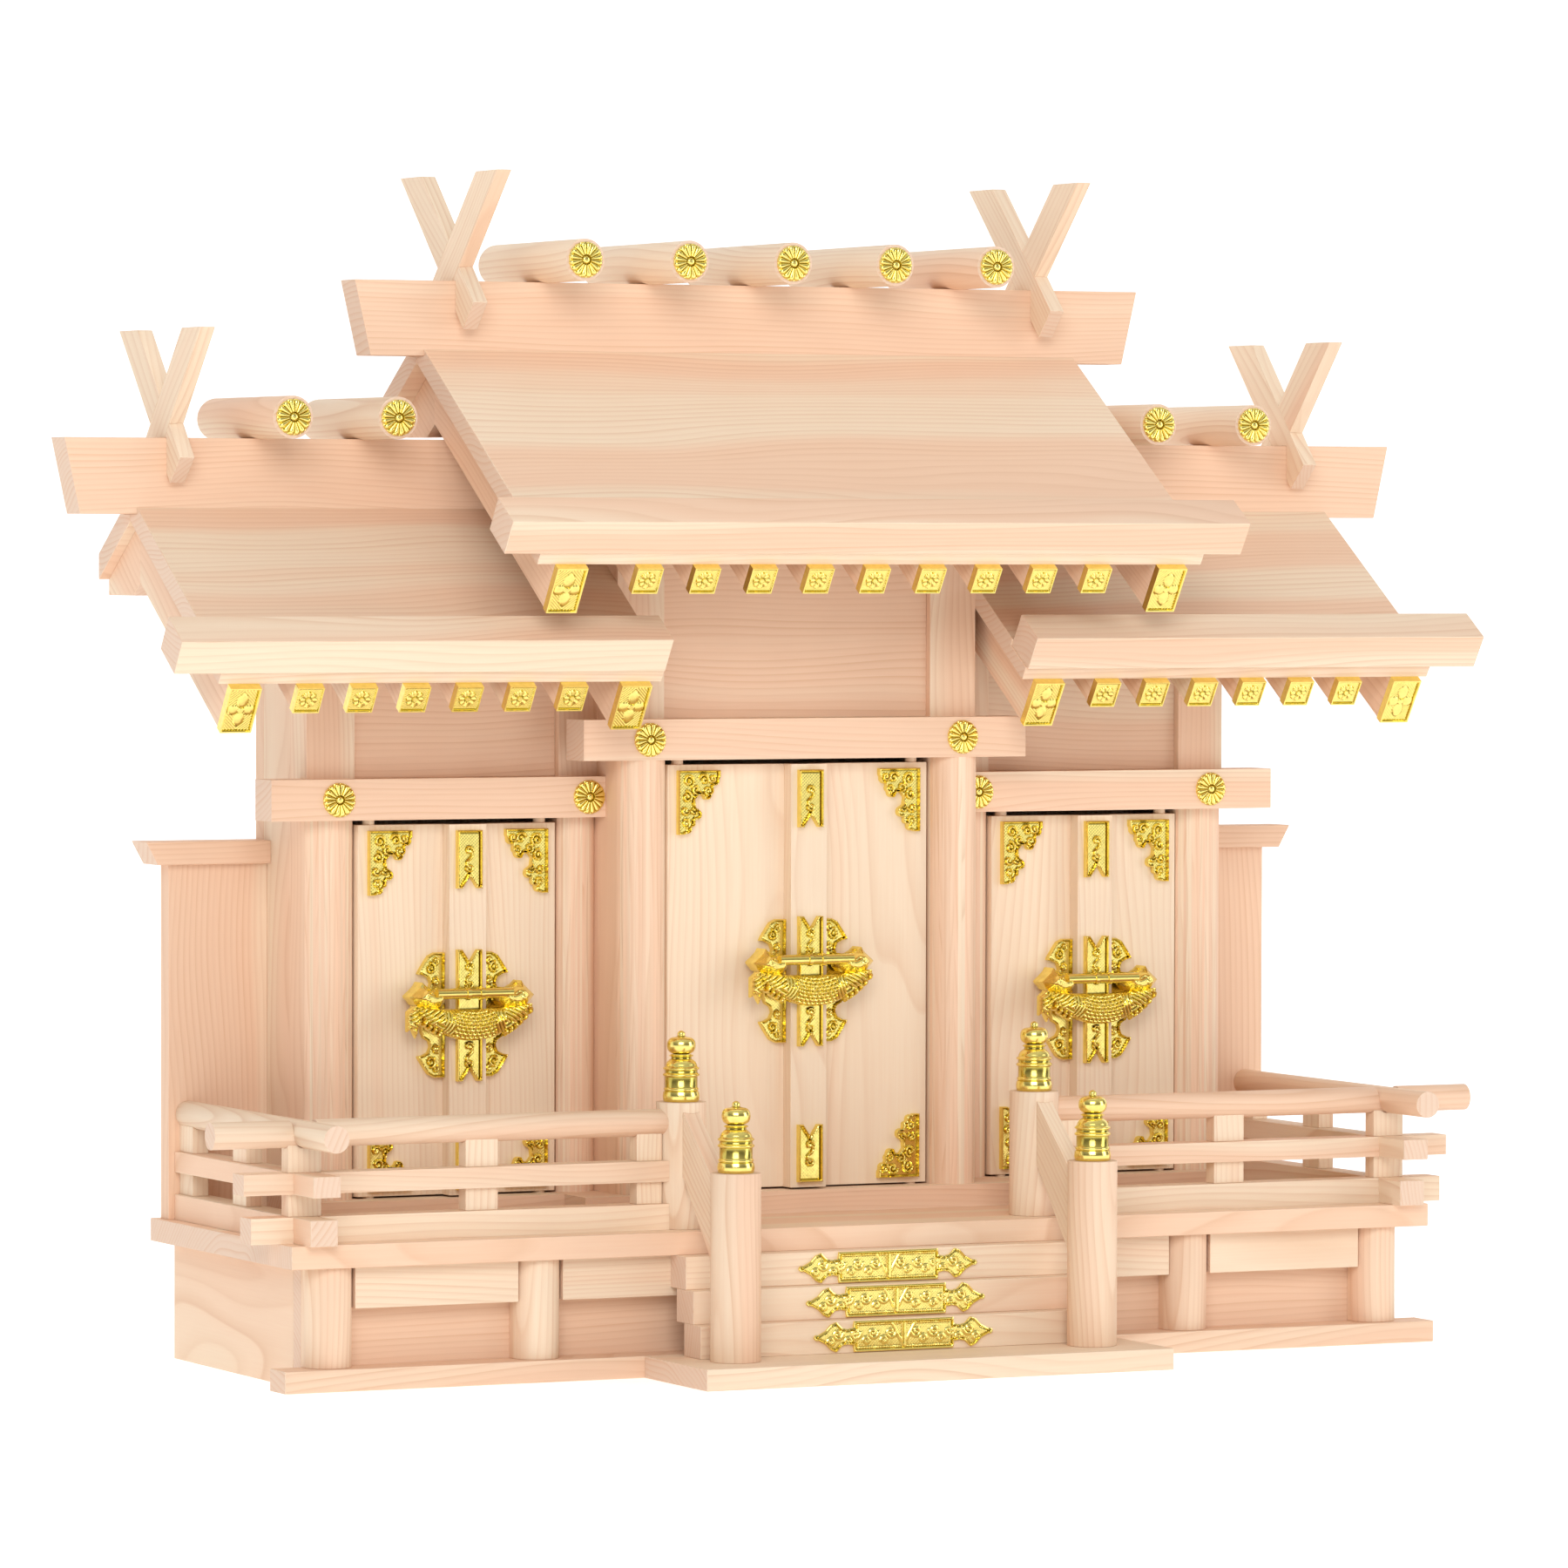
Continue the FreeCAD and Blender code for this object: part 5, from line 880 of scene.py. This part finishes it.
def gather(name, body, replaced, material, parts):
    """One gilt piece from its parts, in place of a CAD node."""
    places = []
    faces = []
    for (points, polygons), origin, up, mirrored in parts:
        across = np.array(RIGHT_WAY)
        out = np.cross(across, up)
        if mirrored:
            across = -across
        points = points * MM
        count = len(places)
        world = (np.array(origin) + points[:, :1] * across + points[:, 1:2] * np.array(up)
                 + points[:, 2:] * out)
        places += world.tolist()
        for face in polygons:
            loop = [item + count for item in face]
            faces.append(loop[::-1] if mirrored else loop)
    mesh = bpy.data.meshes.new(name)
    mesh.from_pydata(places, [], faces)
    mesh.polygons.foreach_set("use_smooth", [True] * len(mesh.polygons))
    mesh.set_sharp_from_angle(angle=SHARP)
    mesh.materials.append(material)
    mesh.validate()
    item = placed(name, mesh)
    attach(item, body)
    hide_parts(replaced)


def welded(node):
    """A CAD node's mesh with its doubled corners joined."""
    shape = bmesh.new()
    shape.from_mesh(nodes[node].data)
    bmesh.ops.remove_doubles(shape, verts=shape.verts, dist=WELD)
    return shape


def solids_of(node):
    """The boxes of a CAD node's separate solids, from left to right."""
    shape = welded(node)
    seen = set()
    boxes = []
    for first in shape.verts:
        if first in seen:
            continue
        seen.add(first)
        group = [first]
        for vert in group:
            for edge in vert.link_edges:
                other = edge.other_vert(vert)
                if other not in seen:
                    seen.add(other)
                    group.append(other)
        corners = np.array([vert.co for vert in group])
        boxes.append((corners.min(axis=0), corners.max(axis=0)))
    shape.free()
    return sorted(boxes, key=lambda pair: tuple((pair[0] + pair[1]).round(5)))


def against(low, high):
    """The middle of a box's back face."""
    return (low[0] + high[0]) / 2, high[1], (low[2] + high[2]) / 2


def flowers(material):
    """The flowers on the logs' ends and on the headers."""
    for node in ("log_discs", "header_flowers"):
        parts = []
        for low, high in solids_of(node):
            form = turned_flower((high[2] - low[2]) / 2 / MM, (high[1] - low[1]) / MM)
            parts.append(part(form, against(low, high)))
        gather(node + "_petals", "shrine", node, material, parts)


def caps(material):
    """The caps on the rafters' ends, square to the slope."""
    down = np.array((0, -math.cos(ROOF_ANGLE), -math.sin(ROOF_ANGLE)))
    up = (0, -math.sin(ROOF_ANGLE), math.cos(ROOF_ANGLE))
    parts = []
    forms = {}
    for low, high in solids_of("rafter_caps"):
        wide = round((high[0] - low[0]) / MM, 2)
        deep = (high[2] - low[2]) / MM
        tall = round((deep - CAP_THICK * math.sin(ROOF_ANGLE)) / math.cos(ROOF_ANGLE), 2)
        if (wide, tall) not in forms:
            form = large_cap if tall > LARGE_CAP_FROM else small_cap
            forms[(wide, tall)] = form(wide + 2 * CAP_OVER, tall + 2 * CAP_OVER)
        parts.append(part(forms[(wide, tall)], (low + high) / 2 - down * CAP_THICK / 2 * MM, up))
    gather("rafter_cap_reliefs", "shrine", "rafter_caps", material, parts)


def step_plates(material):
    """The plates on the risers."""
    parts = []
    for low, high in solids_of("step_plates"):
        wide, thick, tall = (high - low) / MM
        parts.append(part(step_plate(wide, tall, thick), against(low, high)))
    gather("step_plate_reliefs", "shrine", "step_plates", material, parts)


def finials(material):
    """The caps of the stair posts."""
    form = finial_form()
    parts = []
    for low, high in solids_of("post_finials"):
        parts.append(part(form, ((low[0] + high[0]) / 2, (low[1] + high[1]) / 2, low[2]), BACK_WAY))
    gather("turned_finials", "shrine", "post_finials", material, parts)


def door_plates(cell, hand, material):
    """The plates on one leaf: corners, a half plate and, on the left leaf, the plates of the cover strip."""
    node = f"{cell}_fittings_{hand}"
    leaf_low, leaf_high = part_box(f"{cell}_leaf_{hand}")
    leaf_middle = (leaf_low.z + leaf_high.z) / 2
    right_hand = hand == "right"
    parts = []
    for low, high in solids_of(node):
        wide, thick, tall = (high - low) / MM
        outer, inner = (high[0], low[0]) if right_hand else (low[0], high[0])
        middle = against(low, high)
        if high[1] < leaf_low.y - STRIP_AHEAD:
            low_cut = middle[2] > leaf_middle - tall * MM
            high_cut = middle[2] < leaf_middle + tall * MM
            parts.append(part(strip_plate(wide, tall, thick, low_cut, high_cut), middle))
        elif tall > CORNER_PLATE_MOST:
            origin = (inner, high[1], middle[2])
            parts.append(part(half_plate(wide, tall, thick), origin, mirrored=not right_hand))
        elif middle[2] > leaf_middle:
            points, faces = corner_plate(wide, tall, thick)
            hanging = points * np.array([1, -1, 1]), [face[::-1] for face in faces]
            parts.append(part(hanging, (outer, high[1], high[2]), mirrored=right_hand))
        else:
            parts.append(part(corner_plate(wide, tall, thick), (outer, high[1], low[2]), mirrored=right_hand))
    gather(node + "_reliefs", f"{cell}_{hand}_door", node, material, parts)


def fish_lock(cell, material):
    """The fish-shaped lock across a pair of doors."""
    node = cell + "_lock"
    low, high = (np.array(corner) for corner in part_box(node))
    middle = (low[0] + high[0]) / 2
    bar = high[2] - LOCK_BLOCK_HALF
    block_form = end_block((high[1] - low[1]) / MM)
    block_origin = (middle, high[1], bar)
    rod = rod_across(LOCK_BAR_HALF, LOCK_BAR, (-LOCK_COLLAR, LOCK_COLLAR))
    parts = [part(fish_body(LOCK_THICK / MM), (middle, low[1] + LOCK_THICK, bar)),
             part(block_form, block_origin),
             part(block_form, block_origin, mirrored=True),
             part(rod, (middle, low[1] + LOCK_THICK * LOCK_BAR_DEPTH, bar))]
    gather(cell + "_fish_lock", cell + "_left_door", node, material, parts)


def gilt_all():
    """All gilt fittings."""
    bright = gilt()
    flowers(bright)
    caps(bright)
    step_plates(bright)
    finials(bright)
    for cell in ("centre", "left", "right"):
        for hand in ("left", "right"):
            door_plates(cell, hand, bright)
        fish_lock(cell, bright)


def turn_in_side_view(angle):
    """The turn that brings a direction in the Y-Z plane, at an angle above +Y, onto the local X axis."""
    direction = Vector((0, math.cos(angle), math.sin(angle)))
    return tuple(direction.rotation_difference(Vector(RIGHT_WAY)).to_euler())


TURNS = {
    "x": (0, 0, 0),
    "y": (0, 0, -math.pi / 2),
    "z": (0, math.pi / 2, 0),
    "slope": turn_in_side_view(ROOF_ANGLE),
    "stair": turn_in_side_view(STAIR_ANGLE),
    "fork_front": turn_in_side_view(math.pi - FORK_ANGLE),
    "fork_back": turn_in_side_view(FORK_ANGLE),
}


def finish_wood(item, material):
    """A wooden piece's material, and its eased edges."""
    item.data.materials.clear()
    item.data.materials.append(material)
    weld = item.modifiers.new("weld", "WELD")
    weld.merge_threshold = WELD
    flat = item.modifiers.new("flat", "DECIMATE")
    flat.decimate_type = "DISSOLVE"
    flat.angle_limit = FLAT_ANGLE
    ease = item.modifiers.new("ease", "BEVEL")
    ease.width = EDGE_ROUND
    ease.segments = EDGE_SEGMENTS
    ease.limit_method = "ANGLE"
    ease.angle_limit = EDGE_FROM
    ease.harden_normals = True


def dress_all():
    """Wood on every CAD node that is a board, a rail, a post or a door."""
    for number, (node, (grain, peach)) in enumerate(GRAIN.items()):
        finish_wood(nodes[node], wood(node + "_wood", TURNS[grain], peach, number * SEED_STEP))
    doors = [node for node in nodes if "leaf" in node or "batten" in node]
    for number, node in enumerate(doors, 1):
        seed = DOOR_SEED + number * DOOR_SEED_STEP
        finish_wood(nodes[node], wood(node + "_wood", TURNS["z"], DOOR_PEACH, seed, DOOR_CONTRAST))


def wooden(name, replaced, places, faces, material):
    """A wooden piece that stands for a CAD node."""
    mesh = bpy.data.meshes.new(name)
    mesh.from_pydata(places, [], faces)
    mesh.validate()
    item = placed(name, mesh)
    finish_wood(item, material)
    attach(item, "shrine")
    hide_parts(replaced)


def mesh_of(node, keep_above=None):
    """Vertices and faces of a CAD node, or only what is above a height."""
    shape = welded(node)
    if keep_above is not None:
        geometry = list(shape.verts) + list(shape.edges) + list(shape.faces)
        cut = bmesh.ops.bisect_plane(shape, geom=geometry, plane_co=(0, 0, keep_above), plane_no=UP_WAY,
                                     clear_inner=True)
        rims = [item for item in cut["geom_cut"] if isinstance(item, bmesh.types.BMEdge)]
        bmesh.ops.holes_fill(shape, edges=rims, sides=0)
        bmesh.ops.recalc_face_normals(shape, faces=shape.faces)
    shape.verts.ensure_lookup_table()
    shape.verts.index_update()
    places = [tuple(vert.co) for vert in shape.verts]
    faces = [[vert.index for vert in face.verts] for face in shape.faces]
    shape.free()
    return places, faces


def round_posts(node, lintel, bulge_out, shoulder, seed):
    """Corner posts whose front is round below the header."""
    places, faces = mesh_of(node, lintel)
    for low, high in solids_of(node):
        half = (high[0] - low[0]) / 2
        middle = (high[0] + low[0]) / 2
        sagitta = shoulder + bulge_out
        radius = (half ** 2 + sagitta ** 2) / (2 * sagitta)
        spread = math.asin(min(1, half / radius))
        outline = [(high[0], high[1]), (low[0], high[1])]
        for index in range(POST_FACETS + 1):
            angle = -spread + 2 * spread * index / POST_FACETS
            front = low[1] - bulge_out + radius * (1 - math.cos(angle))
            outline.append((middle + radius * math.sin(angle), front))
        count = len(outline)
        start = len(places)
        places += [(x, y, low[2]) for x, y in outline] + [(x, y, lintel) for x, y in outline]
        faces.append([start + index for index in reversed(range(count))])
        faces.append([start + count + index for index in range(count)])
        for index in range(count):
            after = (index + 1) % count
            faces.append([start + index, start + after, start + count + after, start + count + index])
    material = wood(node + "_wood", TURNS["z"], POST_PEACH, seed)
    wooden(node + "_rounded", node, places, faces, material)


def posts_and_floors():
    """Round-fronted corner posts, and the cells' floors that carry them."""
    side_header, centre_header = solids_of("cell_headers")[:2]
    round_posts("centre_posts", centre_header[0][2], CENTRE_BULGE, CENTRE_SHOULDER, CENTRE_POST_SEED)
    round_posts("side_posts", side_header[0][2], SIDE_BULGE, SIDE_SHOULDER, SIDE_POST_SEED)
    places, faces = mesh_of("cell_floors")
    fronts = [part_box(node)[0].y - FLOOR_LIP for node in ("centre_posts", "side_posts")]
    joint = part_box("centre_posts")[1].x + FLOOR_SIDE
    moved = []
    for x, y, z in places:
        if min(abs(y - front) for front in fronts) < SAME_PLACE:
            y -= FLOOR_MORE
        if abs(abs(x) - joint) < SAME_PLACE:
            x += math.copysign(FLOOR_WIDER, x)
        moved.append((x, y, z))
    wooden("cell_floor_boards", "cell_floors", moved, faces,
           wood("cell_floors_wood", TURNS["x"], POST_PEACH, CELL_FLOOR_SEED))


def floor():
    """A plain white floor that curves up far behind."""
    mesh = bpy.data.meshes.new("floor")
    shape = bmesh.new()
    rows = [(-FLOOR_REACH, 0.0), (FLOOR_TURN, 0.0)]
    for index in range(1, FLOOR_STEPS + 1):
        angle = math.pi / 2 * index / FLOOR_STEPS
        rows.append((FLOOR_TURN + FLOOR_BEND * math.sin(angle), FLOOR_BEND * (1 - math.cos(angle))))
    rows.append((FLOOR_TURN + FLOOR_BEND, FLOOR_RISE))
    pairs = [[shape.verts.new((side * FLOOR_REACH, y, z)) for side in (-1, 1)] for y, z in rows]
    for near, far in zip(pairs, pairs[1:]):
        shape.faces.new((near[0], near[1], far[1], far[0])).smooth = True
    shape.to_mesh(mesh)
    shape.free()
    material = bpy.data.materials.new("floor")
    Tree(material).surface({
        "Base Color": FLOOR_WHITE,
        "Roughness": FLOOR_ROUGH,
        "Specular IOR Level": FLOOR_SHEEN,
        "Emission Color": WHITE,
        "Emission Strength": FLOOR_GLOW,
    })
    mesh.materials.append(material)
    item = placed("floor", mesh)


def lights():
    """A soft studio: a large key from the front left, a fill, and a sky that is bright overhead."""
    for name, (place, wide, high, power) in LIGHTS.items():
        light = bpy.data.lights.new(name, "AREA")
        light.shape = "RECTANGLE"
        light.size = wide
        light.size_y = high
        light.energy = power
        item = placed(name, light)
        item.location = place
        item.rotation_euler = (Vector(LIGHT_AIM) - Vector(place)).to_track_quat("-Z", "Y").to_euler()
    world = bpy.data.worlds.new("studio")
    tree = Tree(world)
    rise = tree.split(tree.add("TexCoord").outputs["Generated"])[2]
    background = tree.add("Background")
    tree.put(tree.ramp(rise, SKY), background.inputs["Color"])
    tree.put(SKY_STRENGTH, background.inputs["Strength"])
    tree.put(background.outputs[0], tree.add("OutputWorld").inputs[0])
    bpy.context.scene.world = world


def camera():
    """The camera of the photograph, far off to the front left with a long lens."""
    lens = bpy.data.cameras.new("camera")
    lens.lens = CAMERA_LENS
    lens.sensor_width = CAMERA_FILM
    lens.sensor_fit = "HORIZONTAL"
    lens.shift_x, lens.shift_y = CAMERA_SHIFT
    lens.clip_start = CAMERA_NEAR
    lens.clip_end = CAMERA_FAR
    item = placed("camera", lens)
    item.location = CAMERA_PLACE
    level = Matrix.Rotation(-math.radians(CAMERA_TURN), 3, "Z") @ Matrix.Rotation(math.pi / 2, 3, "X")
    dropped = level @ Matrix.Rotation(-math.radians(CAMERA_DROP), 3, "X")
    rolled = dropped @ Matrix.Rotation(math.radians(CAMERA_ROLL), 3, "Z")
    item.rotation_euler = rolled.to_euler()
    bpy.context.scene.camera = item


dress_all()
posts_and_floors()
gilt_all()
floor()
lights()
camera()
bpy.context.scene.view_settings.view_transform = "Standard"
